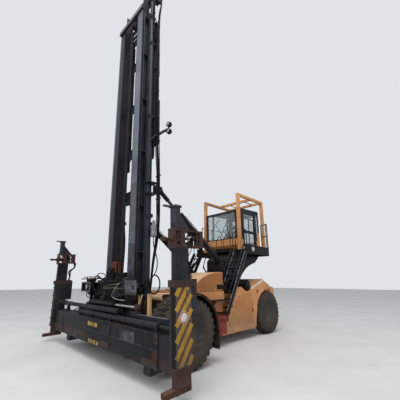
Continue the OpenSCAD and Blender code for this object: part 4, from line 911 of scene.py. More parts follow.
lb.box(470, 640, -1620, -980, 1138, 1158)
lb.kind = 0
lb.rod((520, -1380, 1080), (520, -1380, 1142), 16, 10)
lb.rod((540, -1600, 1010), (540, -1600, 1142), 14, 10)
lb.box(440, 560, -1400, -1190, 1015, 1086)
lb.tube([(500, -1450, 980), (560, -1500, 860), (540, -1480, 720), (500, -1400, 640)], 12, 9)
lb.tube([(520, -1600, 752), (540, -1560, 650), (520, -1420, 590), (480, -1280, 640)], 12, 9)
lb.tube([(540, -1180, 1110), (600, -1060, 1060), (620, -980, 940), (590, -900, 820), (540, -880, 700)], 14,
        9)
lb.build("lamp_box", "carriage", ["black", "lamp", "block", "rust"], "black_paint", 0.002)

# Valve block face: pale casting with spool caps, a black plate painted as the shade of a pocket, port hoses
# and the pile beside it
vb = Shape(mast)
vb.box(640.5, 662, 800, 1290, 806, 1000)
vb.box(600, 640.5, 884, 1176, 794, 956)
for y in (850, 950, 1050, 1150, 1240):
    vb.turned((650, y, 1000), UP, [(0, 24), (30, 24), (38, 16), (60, 16), (60, 0.1)], 16)
    vb.rod((655, y + 10, 800), (655, y + 10, 752), 17, 6)
vb.box(600, 640, 660, 880, 800, 960)
for y in (690, 760, 830):
    vb.turned((642, y, 870), FRONT, [(0, 26), (26, 26), (34, 18), (35, 0.1)], 16)
# Black plate on the face: painted shade of a pocket.
vb.kind = 1
vb.box(661, 664, 1110, 1215, 868, 958)
vb.kind = 2
vb.tube([(655, 915, 756), (690, 930, 690), (680, 1010, 640), (620, 1080, 590)], 11, 8)
vb.tube([(655, 985, 756), (700, 1010, 700), (690, 1100, 660), (620, 1200, 640)], 11, 8)
vb.tube([(655, 1125, 756), (690, 1160, 700), (660, 1240, 690), (600, 1290, 760)], 11, 8)
pick = random.Random(7)
for i in range(34):
    y = pick.uniform(-420, 420)
    top = 1340 if y < 120 else 1200
    w = pick.uniform(960, top)
    u = 452 + pick.uniform(0, 46)
    sweep = pick.uniform(-160, 160)
    vb.tube([(u - 30, y - sweep, w - 40), (u + 20, y - sweep * 0.4, w + pick.uniform(-60, 60)),
             (u + 10, y + sweep * 0.4, w + pick.uniform(-50, 70)), (u - 35, y + sweep, w + 10)],
            pick.uniform(10, 17), 7, 4)
vb.build("valve_face", "carriage", ["block", "grille", "hose"], "cast_grey", 0.0015)

# Rusty anchor frame over the top plate, and two worn strips beside it
rb = Shape(mast)
rb.boxes((396, 424, -368, -60, 1226, 1500), (330, 424, -368, -340, 1226, 1480),
         (330, 424, -88, -60, 1226, 1480), (380, 440, -380, -48, 1480, 1506))
rb.bolts(424, (-330, -210, -100), (1270, 1440), FRONT, 14, 10)
rb.kind = 1
rb.slab([(560, 745), (572, 745), (584, 560), (572, 560)], 1262, 1300)
rb.tube([(566, 1392, 756), (574, 1352, 660), (578, 1322, 560)], 17, 8)
rb.build("anchor_frame", "carriage", ["copper", "bar"], "rust_brown", 0.002)

# Spreader: chromed shift rod, its rusty eye, pale cover of the marker bar and cable guides
sr = Shape(mast)
sr.rod((625, 352, 512), (625, 1268, 512), 33, 28)
sr.kind = 1
sr.turned((625, 1262, 512), ACROSS, [(0, 44), (4, 62), (90, 62), (96, 40), (120, 40), (122, 0.1)], 26)
sr.bolts((590, 660), 1310, 572, UP, 12, 9)
sr.kind = 4
sr.boxes((640, 700, 1170, 2392, 206, 402), (590, 712, 1180, 1398, 300, 432),
         (606, 644, 1282, 1338, 432, 470))
sr.bolts(690, (1215, 1360), 432, UP, 14, 10)
sr.bolts(712, (1215, 1360), 366, FRONT, 14, 10)
sr.bolts(700, (1560, 1800, 2050, 2300), 366, FRONT, 12, 9)
sr.kind = 5
sr.box(660, 700.8, 1398, 2390, 401.8, 404.5)
sr.kind = 2
sr.box(636, 684, 1752, 1834, 300, 776)
sr.box(632, 688, 1746, 1840, 770, 796)
sr.kind = 3
for k in range(3):
    sr.tube([(690, 1180 - 50 * k, 214), (700, 1320 - 40 * k, 300), (690, 1500, 330 - 20 * k),
             (700, 1660, 260), (720, 1780 + 60 * k, 216)], 11, 8)
    sr.tube([(600, -1200 + 60 * k, 240), (640, -1500, 300 + 14 * k), (640, -1900, 290), (600, -2200, 232)],
            11, 8)
sr.build("shift_rod_detail", "spreader", ["chrome", "rust", "bar", "hose", "dark", "steel"], "rod_steel",
         0.001)

# Outer mast: pipes and clips on the rails, bolted ties, work lamps and the canister
# Centres (u, y) of the left lift barrel and of the canister
BARREL = (18, 690)
CANISTER = (-60, 860)
om = Shape(mast)
for _ in om.both():
    for u in (316, 332):
        om.kind = 1
        om.rod((u, 733, 120), (u, 733, 9420), 8, 8)
    om.kind = 0
    for w in range(700, 9300, 860):
        om.box(302, 346, 719, 748, w, w + 46)
    # Stiffening ribs between the flanges and pads on the web
    for w in (700, 1700, 2900, 4450, 6150, 7800, 9300):
        om.box(139, 309, 600, 712, w, w + 22)
    # Bands, gland and foot nut of the lift barrel
    for w in (2600, 5600, 8300, 9400):
        om.band((*BARREL, w - 22), UP, 87, 97, 18, 30)
        om.bolts((-62, 92), 786, w + 45, ACROSS, 12, 9)
    om.turned((*BARREL, 9540), UP, [(0, 87), (0, 99), (60, 99), (68, 92), (68, 62)], 30)
    for w in (1500, 3400, 7000):
        om.band((*BARREL, w), UP, 86.5, 89, 26, 30)
    om.bolts((-100, 40, 110), 860, (3252, 3557), UP, 12, 9)
    om.bolts(-290, 881, (3330, 3450), ACROSS, 13, 9)
    om.bolts(-180, 881, (3260, 3520), ACROSS, 13, 9)
    om.turned((-260, 879, 3390), ACROSS, [(0, 52), (7, 52), (9, 38), (26, 38), (26, 0.1)], 22)
for w0, h in ((60, 260), (3250, 300), (4600, 320), (6250, 300), (7950, 300), (9100, 260)):
    ends = (w0 + 50, w0 + h - 50)
    om.bolts(0, (-540, -400, 400, 540), ends, BACK, 13, 10)
    om.bolts(30, (-540, -400, 400, 540), ends, FRONT, 13, 8)
    om.box(30, 44, -470, 470, w0 + h - 16, w0 + h)
    om.box(30, 44, -470, 470, w0, w0 + 16)
om.build("mast_detail", "outer_mast", ["dark", "inner"], "dark_paint", 0.0015)

wl = Shape(mast)
for w in (5210, 5440):
    wl.turned((-408, 1000, w), FRONT, [(-8, 78), (6, 80), (10, 74), (10, 66)], 26)
    wl.kind = 1
    wl.turned((-402, 1000, w), FRONT, [(0, 66), (10, 58), (14, 30), (15, 0.1)], 26)
    wl.kind = 0
    wl.turned((-499, 1000, w), BACK, [(0, 74), (34, 48), (44, 20), (44, 0.1)], 20)
    wl.box(-470, -420, 1075, 1084, w - 40, w + 40)
    wl.rod((-445, 912, w), (-445, 1088, w), 9, 10)
wl.rod((-440, 1000, 5115), (-440, 1000, 5125), 26, 12)
wl.rod((-440, 1000, 5515), (-440, 1000, 5526), 26, 12)
wl.tube([(60, 735, 4900), (-60, 800, 5000), (-240, 900, 5170), (-420, 1010, 5300), (-470, 1000, 5420)], 8, 8)
wl.rod((-72, 816, 4948), (-430, 995, 5290), 34, 12)
wl.build("work_lamps", "outer_mast", ["black", "lamp"], "black_paint", 0.001)

ca = Shape(mast)
ca.turned((*CANISTER, 2070), UP, [(0, 40), (6, 62), (18, 78), (150, 79), (152, 82), (166, 82), (168, 79),
                                 (286, 78), (300, 66), (312, 42), (400, 42), (404, 34), (430, 34),
                                 (430, 0.1)], 30)
ca.kind = 1
ca.band((*CANISTER, 2150), UP, 79.5, 81, 70, 30)
ca.rod((*CANISTER, 1960), (*CANISTER, 2075), 17, 12)
ca.kind = 2
ca.tube([(*CANISTER, 1965), (-62, 862, 1880), (-90, 900, 1700), (-130, 930, 1500), (-125, 925, 1300),
         (-60, 880, 1120), (20, 800, 1010), (30, 760, 960)], 13, 10)
ca.build("canister", "outer_mast", ["grey", "steel", "hose"], "cast_grey", 0.001)

# Inner mast: paler front flanges, with painted shade low down, running strips, sheave detail and the hose
# falls
im = Shape(mast)
im.box(391.5, 393.2, 436, 716, -240, 9780)
im.box(391.5, 393.2, -716, -652, -240, 9780)
im.kind = 2
im.box(391.5, 393.2, -652, -436, -240, 9780)
im.kind = 1
im.box(451.5, 453.2, -732, 772, 9541, 9689)
im.box(382, 451.4, -732, 772, 9690.1, 9692)
im.build("flange_faces", "inner_mast", ["flange", "head", "inner"], "dark_paint", smooth=0)
rs = Shape(mast)
for _ in rs.both():
    rs.box(360.2, 362.2, 470, 520, -200, 9700)
    rs.box(75, 76.5, 470, 520, -200, 9700)
rs.build("roller_tracks", "inner_mast", "steel", "rod_steel", smooth=0)

sh = Shape(mast)
for _ in sh.both():
    # Grooved hose sheave with its cheek plate, axle end and strap
    prof = [(-26, 192), (-20, 192), (-14, 180), (0, 176), (14, 176), (20, 182), (26, 176), (40, 176),
            (48, 182), (54, 176), (62, 180), (66, 192), (70, 192)]
    sh.turned((-160, 685, 10550), ACROSS, prof, 44)
    sh.turned((-160, 757, 10550), ACROSS, [(0, 60), (8, 60), (10, 44), (26, 44), (28, 30), (28, 0.1)], 24)
    sh.nut_ring((-160, 756, 10550), ACROSS, 110, 8, 12, 9)
    sh.box(-56, 104, 766, 774, 10262, 10310)
    sh.bolts((-40, 90), 765, (10290, 10360), ACROSS, 14, 10)
    sh.turned((*BARREL, 10398), UP, [(0, 74), (10, 74), (14, 62), (34, 62), (34, 0.1)], 26)
    sh.bolt((110, 300, 9860), ACROSS, 22, 14)
sh.box(-68, -60, -640, 640, 10270, 10300)
sh.build("crosshead_detail", "inner_mast", "dark", "dark_paint", 0.0015)

# Hoses over the sheaves: front fall outside the rail, rear fall down to the middle of the mast
hf = Shape(mast)
for s in hf.both():
    for i, y in enumerate((697, 718, 742)):
        arc = [(-160 + 178 * math.cos(t), y, 10550 + 178 * math.sin(t))
               for t in [math.pi * k / 10 for k in range(11)]]
        out = 806 + 24 * i
        pts = [(-60, out - 6, 8520), (6, out, 8760), (24, out, 9200), (22, out, 9800),
               (18, out - 6, 10160), (18, y + 14, 10400)]
        pts += arc
        sway = 26 * math.sin(1.7 * i + s)
        pts += [(-330, y + 8, 10330), (-262 + sway * 0.4, y + 40, 9960),
                (-205 + sway * 0.4, y + 84, 9620), (-172, 812 + 26 * i, 9260),
                (-158, 822 + 26 * i, 8700), (-150, 836 + 26 * i, 8100),
                (-148, 846 + 26 * i, 7400), (-146, 852 + 26 * i, 7060)]
        hf.tube(pts, 17, 9, 3)
    for w in (9560, 9130, 8740):
        hf.box(-4, 48, 792, 868, w, w + 40)
    # Clamp blocks on the rear fall
    for w, u, y in ((10080, -280, 752), (9700, -216, 790), (9100, -168, 842), (8500, -156, 852),
                    (7900, -150, 866), (7200, -147, 874)):
        hf.box(u - 20, u + 20, y - 40, y + 40, w, w + 34)
hf.build("hose_falls", "inner_mast", "hose", "black_paint")

# Fixed hoses and pipes beside the barrels: they pass outside the tilt brackets and behind the canister
rt = Shape(mast)
HOSES = 5
WAVE = (0, 6, -7, 5, -6, 4, 0, -4, 5, -5, 4, 0, 0)
# Rows of u, y, step between hoses, w
RUN = ((-92, 742, 22, 9330), (-108, 750, 26, 8500), (-114, 768, 30, 7668), (-118, 782, 36, 6151),
       (-120, 800, 44, 4700), (-116, 884, 34, 3860), (-112, 900, 34, 3390), (-112, 898, 34, 3019),
       (-168, 830, 34, 2560), (-172, 790, 26, 2050), (-130, 720, 18, 1450), (-92, 690, 16, 900),
       (-70, 640, 16, 620))
for _ in rt.both():
    rt.kind = 0
    for i in range(HOSES):
        rt.tube([(u + WAVE[(k + 2 * i) % 13] * 0.7, y + step * i + WAVE[(k + i) % 13], w)
                 for k, (u, y, step, w) in enumerate(RUN)], 13.5 if i % 2 else 11, 8, 4)
    rt.kind = 1
    for i in range(HOSES):
        y = 722 - 25 * i
        rt.tube([(-96, y - 40, 9380), (-112, y, 9250), (-118, y + 4, 8300), (-116, y - 5, 7300),
                 (-120, y + 5, 6300), (-117, y - 3, 5300), (-119, y + 2, 4420), (-96, y - 60, 4330)],
                12.5 if i % 2 else 14.5, 8, 4)
    # Tray behind the hoses, in steps that follow them, and the clamps
    steps = ((4700, 980), (6151, 930), (7668, 884), (8500, 862), (9330, 838))
    for (w0, y0), (w1, y1) in zip(steps, steps[1:]):
        rt.box(-146, -140, 604, (y0 + y1) / 2, w0, w1)
        rt.box(-146, -104, (y0 + y1) / 2, (y0 + y1) / 2 + 5, w0, w1)
    for w, u, y0, y1 in ((9200, -96, 700, 850), (8300, -109, 704, 868), (7400, -115, 706, 902),
                         (6500, -118, 708, 930), (5600, -119, 708, 946), (4760, -120, 712, 990),
                         (3700, -114, 868, 1042), (3060, -112, 884, 1050)):
        rt.boxes((u - 22, u - 15, y0, y1, w, w + 34), (u + 15, u + 22, y0, y1, w, w + 34),
                 (u - 22, u + 22, y1 - 4, y1 + 8, w - 4, w + 38))
rt.build("mast_hoses", "outer_mast", ["hose", "dark"], "black_paint")

# Guard tubes: worn skins on their front, outer and upper faces
gc = Shape()
for _ in gc.both():
    gc.box(-3437, -3417, 785, 893, 2764, 4893)
    gc.box(-5148, -5129, 785, 893, 2764, 4893)
    for x0, x1 in ((-3525, -3437), (-5130, -5040)):
        gc.box(x0, x1, 875, 893, 2764, 4893)
    gc.box(-5040, -3525, 875, 893, 4800, 4893)
    gc.box(-5130, -3437, 785, 893, 4889, 4893)
gc.build("guard_faces", "chassis", "guard", "body_peach", 0.004)

# Leaf chains: side links and pins over the front and rear falls and round the sheave
lc = Shape(mast)
PITCH = 62


def chain_path():
    """Places (u, w, angle) of the links: up the front, round the sheave, down behind it."""
    top = 9860
    radius = 146
    pts = []
    w = 1262
    while w < top:
        pts.append((256, w, 0.0))
        w += PITCH
    steps = int(math.pi * radius / PITCH)
    for k in range(1, steps):
        t = math.pi * k / steps
        pts.append((110 + radius * math.cos(t), top + radius * math.sin(t), t))
    w = top
    while w > 9180:
        pts.append((-36, w, math.pi))
        w -= PITCH
    return pts


HALF = 44
LINK = [(-HALF, -9), (-HALF + 12, -15), (HALF - 12, -15), (HALF, -9), (HALF, 9), (HALF - 12, 15),
        (-HALF + 12, 15), (-HALF, 9)]
for _ in lc.both():
    for k, (u, w, t) in enumerate(chain_path()):
        cu, cw = -math.sin(t), math.cos(t)
        for y in (192, 206, 220, 234) if k % 2 else (199, 213, 227, 241):
            lc.slab([(u + cu * a + cw * b, w + cw * a - cu * b) for a, b in LINK], y, y + 5.5)
        a = PITCH / 2
        lc.rod((u + cu * a, 189, w + cw * a), (u + cu * a, 251, w + cw * a), 8, 8)
o = lc.build("lift_chain_links", "inner_mast", "chain", "chain_steel", smooth=0)
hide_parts("lift_chains")

# Locking heads: twist cylinder, lever, springs, hoses and bolts on each post
LOCK_Y = 2926.5
for side, s in SIDES:
    rear = 330 if s > 0 else 500
    lh = Shape(mast, s)
    lh.turned((1014, LOCK_Y, 1715), FRONT, [(0, 60), (12, 60), (18, 50), (40, 46), (40, 29.4)], 28)
    lh.nut_ring((1014, LOCK_Y, 1715), FRONT, 76, 6, 10, 9, 0.3)
    lh.bolts((rear + 30, rear + 130, rear + 240, 800, 900, 990), (2845, 2970), 1885, UP, 12, 9)
    lh.bolts((rear + 60, 690, 820, 930), 2985, (1602, 1872), ACROSS, 9, 8)
    # Edge bars of the two shelves and stays between them
    lh.boxes((rear + 4, 972, 2985, 2996, 1588, 1618), (rear + 4, 972, 2985, 2996, 1858, 1888),
             (rear + 150, rear + 172, 2985, 2996, 1618, 1858), (700, 722, 2985, 2996, 1618, 1858))
    lh.rod((990, 2984, 1600), (880, 2984, 1870), 11, 8)
    lh.bolts(1015, (2845, 2985), (1600, 1650, 1790, 1880), FRONT, 10, 8)
    lh.build("lock_frame_" + side, "post_" + side, "rust", "rust_brown", 0.0015)

    lm = Shape(mast, s)
    lm.turned((rear + 110, 2950, 1740), FRONT,
              [(0, 26), (8, 33), (150, 33), (156, 28), (156, 13), (250, 13), (250, 0.1)], 20)
    lm.rod((rear + 350, 2950, 1740), (790, 2935, 1720), 18, 10)
    lm.turned((rear + 180, 2870, 1620), UP, [(0, 30), (150, 30), (156, 24), (156, 0.1)], 16)
    lm.box(620, 700, 2925, 2975, 1620, 1684)
    lm.box(rear + 200, rear + 270, 2850, 2950, 1800, 1856)
    for k in range(9):
        lm.turned((700 + 9 * k, 2960, 1650), FRONT, [(0, 14), (4, 18), (8, 14)], 12)
    lm.build("lock_gear_" + side, "post_" + side, "black", "black_paint", 0.001)

    lhz = Shape(mast, s)
    for k in range(4):
        y0 = 2850 + 32 * k
        lhz.tube([(rear + 120, y0, 1850), (rear + 170 + 16 * k, y0 + 10, 1790),
                  (rear + 260, y0 + 6, 1690 + 12 * k), (700, y0 - 4, 1660), (770, y0, 1720)], 9, 8)
        lhz.tube([(rear + 40, y0, 1650), (rear - 30 + 10 * k, y0, 1600), (rear - 20, y0 + 5, 1460),
                  (rear + 90 + 16 * k, y0 + 4, 1340), (600, y0 - 2, 1190), (620, y0 - 2, 1070)], 10, 8)
    lhz.tube([(600, 2970, 1640), (640, 2992, 1730), (700, 2990, 1790), (760, 2960, 1730)], 8, 8)
    lhz.build("lock_hoses_" + side, "post_" + side, "hose", "black_paint")

    up = Shape(mast, s)
    # Upper post: cap lip, bolted plate and weld at its foot
    up.box(838, 987, 2822, 2994, 2270, 2281)
    up.bolts(970, (2860, 2955), (1950, 2180), FRONT, 12, 9)
    up.rod((972, 2838, 1908), (972, 2978, 1908), 6, 8)
    up.box(970, 975, 2850, 2965, 1925, 2010)
    up.box(970, 975, 2850, 2965, 2060, 2075)
    up.build("upper_post_detail_" + side, "post_" + side, "dark", "dark_paint", 0.0015)

    # Rust at the foot of the column and on the toe
    ft = Shape(mast, s)
    y0, y1 = 2869, 2981
    u0, u1 = 689, 981
    ft.boxes((u0, u1, y0, y0 + 0.9, -505, -426), (u0, u1, y1 - 0.9, y1, -505, -426),
             (u0, u0 + 0.9, y0, y1, -505, -426), (981.5, 1179, 2870.5, 2979.5, -498.4, -423.8))
    ft.build("foot_rust_" + side, "post_" + side, "foot", "rust_brown", 0.003)

# Wheels: nuts, hub caps, lock rings and valve stems
LOCK_RING = [(0, 300), (6, 322), (14, 330), (22, 322), (22, 300)]
for side, s in SIDES:
    dw = Shape(side=s)
    y = DRIVE_Y[0]
    dw.turned((0, y - 66, AXLE_Z), ACROSS, [(0, 205), (30, 205), (40, 196), (44, 150), (120, 140),
                                            (132, 120), (136, 0.1)], 40)
    dw.nut_ring((0, y - 118, AXLE_Z), ACROSS, 232, 16, 15, 18)
    dw.nut_ring((0, y + 62, AXLE_Z), ACROSS, 104, 10, 12, 10)
    dw.turned((0, y + 150, AXLE_Z), ACROSS, LOCK_RING, 56)
    dw.rod((210, y - 20, 870), (235, y + 60, 895), 6, 8)
    dw.build("drive_hub_" + side, "drive_wheels_" + side, "rim", "rim_paint", 0.001)
    sw = Shape(side=s)
    x = STEER_X
    y = STEER_Y
    sw.turned((x, y + 40, AXLE_Z), ACROSS, [(-40, 150), (20, 150), (34, 138), (40, 96), (96, 90), (106, 74),
                                            (108, 0.1)], 36)
    sw.nut_ring((x, y + 38, AXLE_Z), ACROSS, 186, 12, 15, 20)
    sw.nut_ring((x, y + 78, AXLE_Z), ACROSS, 118, 8, 10, 8)
    sw.turned((x, y + 150, AXLE_Z), ACROSS, LOCK_RING, 56)
    sw.rod((x + 190, y - 10, 860), (x + 215, y + 80, 886), 6, 8)
    sw.build("steer_hub_" + side, "steer_wheel_" + side, "rim", "rim_paint", 0.001)


# Cab: seat, controls, wiper, seals and handle
def cushion(name, centre, along, across_it, out, thick, channels=()):
    """A crowned pad: its centre, two half sides, the way its face looks, thickness and sewn channels."""
    nu, nv = 22, 18
    verts = []
    faces = []
    for side in (1, -1):
        for i in range(nu + 1):
            for j in range(nv + 1):
                a = 2 * i / nu - 1
                b = 2 * j / nv - 1
                edge = (1 - a ** 6) * (1 - b ** 6)
                crown = (max(0.0, (1 - a * a) * (1 - b * b))) ** 0.32
                pull = 1 - 0.035 * (1 - a * a) if abs(b) > 0.98 else 1
                dip = sum(0.22 * math.exp(-((a - q) / 0.05) ** 2) for q in channels)
                h = thick / 2 * crown * (1 - dip) * side
                h += 1.3 * math.sin(5 * a + 3 * b) * edge * side
                p = Vector(centre) + Vector(along) * a + Vector(across_it) * b * pull + Vector(out) * h
                verts.append(car(p))
    n = (nu + 1) * (nv + 1)
    for i in range(nu):
        for j in range(nv):
            k = i * (nv + 1) + j
            faces.append((k, k + nv + 1, k + nv + 2, k + 1))
            faces.append((n + k, n + k + 1, n + k + nv + 2, n + k + nv + 1))
    mesh = bpy.data.meshes.new(name)
    mesh.from_pydata([tuple(v) for v in verts], [], faces)
    closed(mesh, 0.0006)
    mesh.materials.append(M["cover"])
    for f in mesh.polygons:
        f.use_smooth = True
    o = linked(name, mesh)
    sub = o.modifiers.new("soft", "SUBSURF")
    sub.levels = 1
    sub.render_levels = 1
    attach(o, "chassis")


# Height of the cab's floor
Z0 = 2810.3
TILTED = (0.99, 0, 0.16)
cushion("seat_cushion", (-4290, 0, Z0 + 335), (265, 0, 0), (0, 255, 0), UP, 130, (-0.45, 0.0, 0.45))
cushion("seat_back", (-4575, 0, Z0 + 745), (-58, 0, 350), (0, 228, 0), TILTED, 120, (-0.5, 0.0, 0.5))
cushion("seat_headrest", (-4600, 0, Z0 + 1205), (-14, 0, 92), (0, 120, 0), TILTED, 92)
for side, s in SIDES:
    cushion("armrest_" + side, (-4290, s * 320, Z0 + 500), (186, 0, 0), (0, 38, 0), UP, 46)
ct = Shape()
# Seat base with bellows, slides and side rails
for k in range(5):
    ct.turned((-4275, 0, Z0 + 34 * k), UP, [(0, 196), (12, 208), (24, 208), (34, 196)], 28)
ct.boxes((-4905, -4790, -690, -540, Z0 + 20, Z0 + 1520), (-4480, -4070, -220, 220, Z0 + 175, Z0 + 214),
         (-4500, -4050, -236, -214, Z0 + 214, Z0 + 280), (-4500, -4050, 214, 236, Z0 + 214, Z0 + 280))
ct.slab([(-4560, Z0 + 260), (-4060, Z0 + 240), (-4050, Z0 + 290), (-4480, Z0 + 300), (-4590, Z0 + 420),
         (-4660, Z0 + 1080), (-4690, Z0 + 1080), (-4640, Z0 + 420)], -205, 205)
for _ in ct.both():
    ct.rod((-4630, 60, Z0 + 1060), (-4634, 60, Z0 + 1150), 7, 8)
    ct.rod((-4400, 320, Z0), (-4390, 320, Z0 + 470), 24, 12)
    ct.slab([(-4480, Z0 + 430), (-4110, Z0 + 430), (-4090, Z0 + 470), (-4480, Z0 + 478)], 286, 354)
    ct.rod((-4140, 318, Z0 + 480), (-4128, 318, Z0 + 580), 11, 10)
    ct.turned((-4128, 318, Z0 + 575), UP, [(0, 12), (8, 22), (40, 24), (56, 16), (60, 0.1)], 14)
# Steering column, wheel and the dash plate
ct.slab([(-3880, Z0), (-3740, Z0), (-3760, Z0 + 90), (-3812, Z0 + 690), (-3884, Z0 + 690), (-3850, Z0 + 80)],
        -48, 48)
d = Vector((-math.sin(math.radians(20)), 0, math.cos(math.radians(20))))
hub = Vector((-3865, 0, Z0 + 752))
e1 = Vector(ACROSS)
e2 = d.cross(e1)


def wheel_point(t, r):
    """A point in the steering wheel's plane, at angle t and radius r."""
    return hub + (e1 * math.cos(t) + e2 * math.sin(t)) * r


ct.tube([wheel_point(2 * math.pi * k / 28, 190) for k in range(29)], 16, 10, 1)
for k in range(3):
    ct.rod(hub, wheel_point(2 * math.pi * k / 3 + 0.5, 188), 12, 8)
ct.turned(hub - d * 40, d, [(0, 30), (30, 44), (52, 44), (60, 30), (62, 0.1)], 20)
knob = wheel_point(0.9, 180)
ct.rod(knob + d * 16, knob + d * 60, 18, 12)
ct.slab([(-3700, Z0), (-3580, Z0 + 20), (-3560, Z0 + 300), (-3600, Z0 + 420), (-3650, Z0 + 400)], -420, 420)
ct.rod((-3620, 430, Z0 + 360), (-3640, 470, Z0 + 760), 14, 10)
ct.slab([(-3690, Z0 + 760), (-3600, Z0 + 740), (-3590, Z0 + 900), (-3680, Z0 + 920)], 400, 560)
for y in (-80, 80):
    ct.slab([(-3780, Z0 + 30), (-3700, Z0 + 30), (-3680, Z0 + 130), (-3700, Z0 + 140)], y - 34, y + 34)
cab_fit = ct.build("cab_controls", "chassis", "trim", "cab_trim", 0.003)
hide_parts("cab_interior")

cd = Shape()
# Rubber seals round the panes and the wiper over the front screen
WAIST = 3200
for _ in cd.both():
    for z in (WAIST + 34, 4196):
        cd.rod((-3478 + (z - WAIST) * 0.028, 672, z), (-3478 + (z - WAIST) * 0.028, 0, z), 7, 8)
    cd.rod((-3477, 684, WAIST + 40), (-3450, 684, 4190), 7, 8)
    for x0, x1, z0, z1 in ((-3772, -3764, WAIST + 20, 4300), (-3520, -3512, WAIST + 14, 4240)):
        cd.box(x0, x1, 712, 722, z0, z1)
cd.rod((-3458, 120, WAIST + 66), (-3436, -260, WAIST + 620), 8, 8)
cd.rod((-3448, -420, WAIST + 480), (-3430, -120, WAIST + 800), 7, 8)
cd.rod((-3458, 430, WAIST + 66), (-3438, 240, WAIST + 560), 8, 8)
cd.rod((-3446, 100, WAIST + 400), (-3430, 360, WAIST + 740), 7, 8)
for y in (120, 430):
    cd.turned((-3474, y, WAIST + 60), FRONT, [(0, 26), (14, 26), (20, 16), (22, 0.1)], 16)
# Roof lip over the screen's sides
for _ in cd.both():
    cd.slab([(-3408, 4196), (-3400, 4262), (-3770, 4396), (-3770, 4370)], 700, 744)
cd.build("cab_seals_wipers", "chassis", "seal", "black_paint")

dr = Shape()
dr.box(-3912, -3878, 741, 748, 3380, 3600)
dr.rod((-3895, 748, 3420), (-3895, 790, 3420), 9, 10)
dr.rod((-3895, 748, 3570), (-3895, 790, 3570), 9, 10)
dr.tube([(-3895, 790, 3410), (-3895, 796, 3450), (-3895, 796, 3540), (-3895, 790, 3580)], 11, 10)
dr.bolts((-4676, -4658), 760, (3090, 3140, 3560, 3610), ACROSS, 7, 6)
for z in (3549, 4220, 3019, 3460):
    dr.box(-4636, -3914, 738, 743, z, z + 11)
for x0, x1 in ((-4636, -4625), (-3925, -3914)):
    dr.box(x0, x1, 738, 743, 3560, 4220)
    dr.box(x0, x1, 738, 743, 3030, 3460)
dr.build("door_trim", "cab_door", "seal", "black_paint", 0.001)

# Platform: low loops before the screen, round blank plate, cable loops below, deck ribs
pf = Shape()
for y0, y1 in ((-90, 160), (250, 560)):
    pf.tube([(-3276, y0, 2925), (-3276, y0 + 20, 3180), (-3280, (y0 + y1) / 2, 3330), (-3276, y1 - 20, 3180),
             (-3276, y1, 2925)], 13, 9, 5)
for _ in pf.both():
    for x in (-3330, -3590, -3900, -4740, -4830):
        pf.turned((x, 1170, 2916), UP, [(0, 34), (8, 34), (10, 24), (26, 20), (26, 0.1)], 14)
    pf.bolts(range(-4800, -3300, 190), 1180, 2650, ACROSS, 9, 6)
    pf.box(-4846, -3294, 1180.2, 1186, 2896, 2918)
    pf.box(-4846, -3294, 1180.2, 1186, 2612, 2630)
    for x in (-4080, -4300):
        pf.box(x, x + 26, 1180.2, 1186, 2630, 2896)
for _ in pf.both():
    for k in range(3):
        pf.tube([(-3250, 560 + 40 * k, 2600), (-3120 - 30 * k, 600 + 40 * k, 2420 - 60 * k),
                 (-3160, 640 + 30 * k, 2180), (-3300, 600 + 20 * k, 1980)], 11, 8)
pf.build("platform_detail", "chassis", "black", "black_paint", 0.001)
sg = Shape()
sg.turned((-3767, 1186, 2786), ACROSS, [(0, 78), (2, 80), (4, 78), (4, 0.1)], 36)
sg.kind = 1
for p in circle(Vector((-3767, 1190, 2786)), Vector(FRONT), Vector(UP), 50, 8):
    sg.rod(p, p + 2 * Vector(ACROSS), 12, 10)
sg.build("skirt_plate", "chassis", ["white", "grey"], "body_peach")

# Ladder: open treads with raised teeth, and pale worn edges on the stringers
ld = Shape()
for _ in ld.both():
    for i in range(8):
        t = (i + 0.4) / 8
        x = -2170 - 1020 * t
        z = 890 + 1770 * t
        for k in range(9):
            y = 830 + 50 * k
            ld.box(x - 80, x + 80, y, y + 22, z + 13, z + 18)
        ld.box(x + 80, x + 88, 812, 1276, z - 20, z + 14)
    ld.kind = 1
    for y in (816, 1272):
        ld.rod((-2110, y, 905), (-3135, y, 2685), 7, 8)
        ld.rod((-2230, y, 845), (-3255, y, 2625), 5, 8)
    ld.kind = 0
    for y, x0, z0 in ((820, -2205, 1400), (1286, -2060, 1150)):
        for t in (0.3, 0.62, 0.95):
            x = x0 + (-3080 - x0) * t
            z = z0 + (2910 - z0) * t
            ld.turned((x, y, z), (-0.56, 0, 0.83), [(0, 19), (4, 21), (26, 21), (30, 19)], 12)
ld.build("ladder_detail", "chassis", ["black", "steel"], "black_paint", 0.001)

# Mesh field on the front of the pedestal and louvres beside it
ms = Shape()
for k in range(17):
    z = 1480 + 54 * k
    ms.box(-3159.5, -3146, -430, 430, z, z + 14)
for k in range(14):
    y = -430 + 64 * k
    ms.box(-3159.5, -3150, y, y + 12, 1470, 2370)
for y in (-470, 455):
    ms.box(-3159.5, -3140, y, y + 16, 1400, 2380)
ms.box(-3159.5, -3140, -470, 471, 2374, 2388)
ms.build("pedestal_mesh", "chassis", "black", "black_paint", 0.001)

# Hood: latches, the lid's seam, lifting eyes and a valve in the pocket
hd = Shape()
for x in (-1150, -1800):
    hd.slab([(x - 24, 1440), (x + 24, 1440), (x + 24, 1500), (x - 24, 1500)], 1100, 1107)
    hd.rod((x, 1106, 1460), (x, 1122, 1460), 11, 10)
hd.kind = 1
hd.box(-2140, -1000, 1100, 1103.5, 1424, 1432)
for x, z in ((-1330, 1806), (-1990, 1954)):
    hd.turned((x, 620, z), UP, [(0, 40), (10, 40), (12, 26), (34, 22), (34, 0.1)], 18)
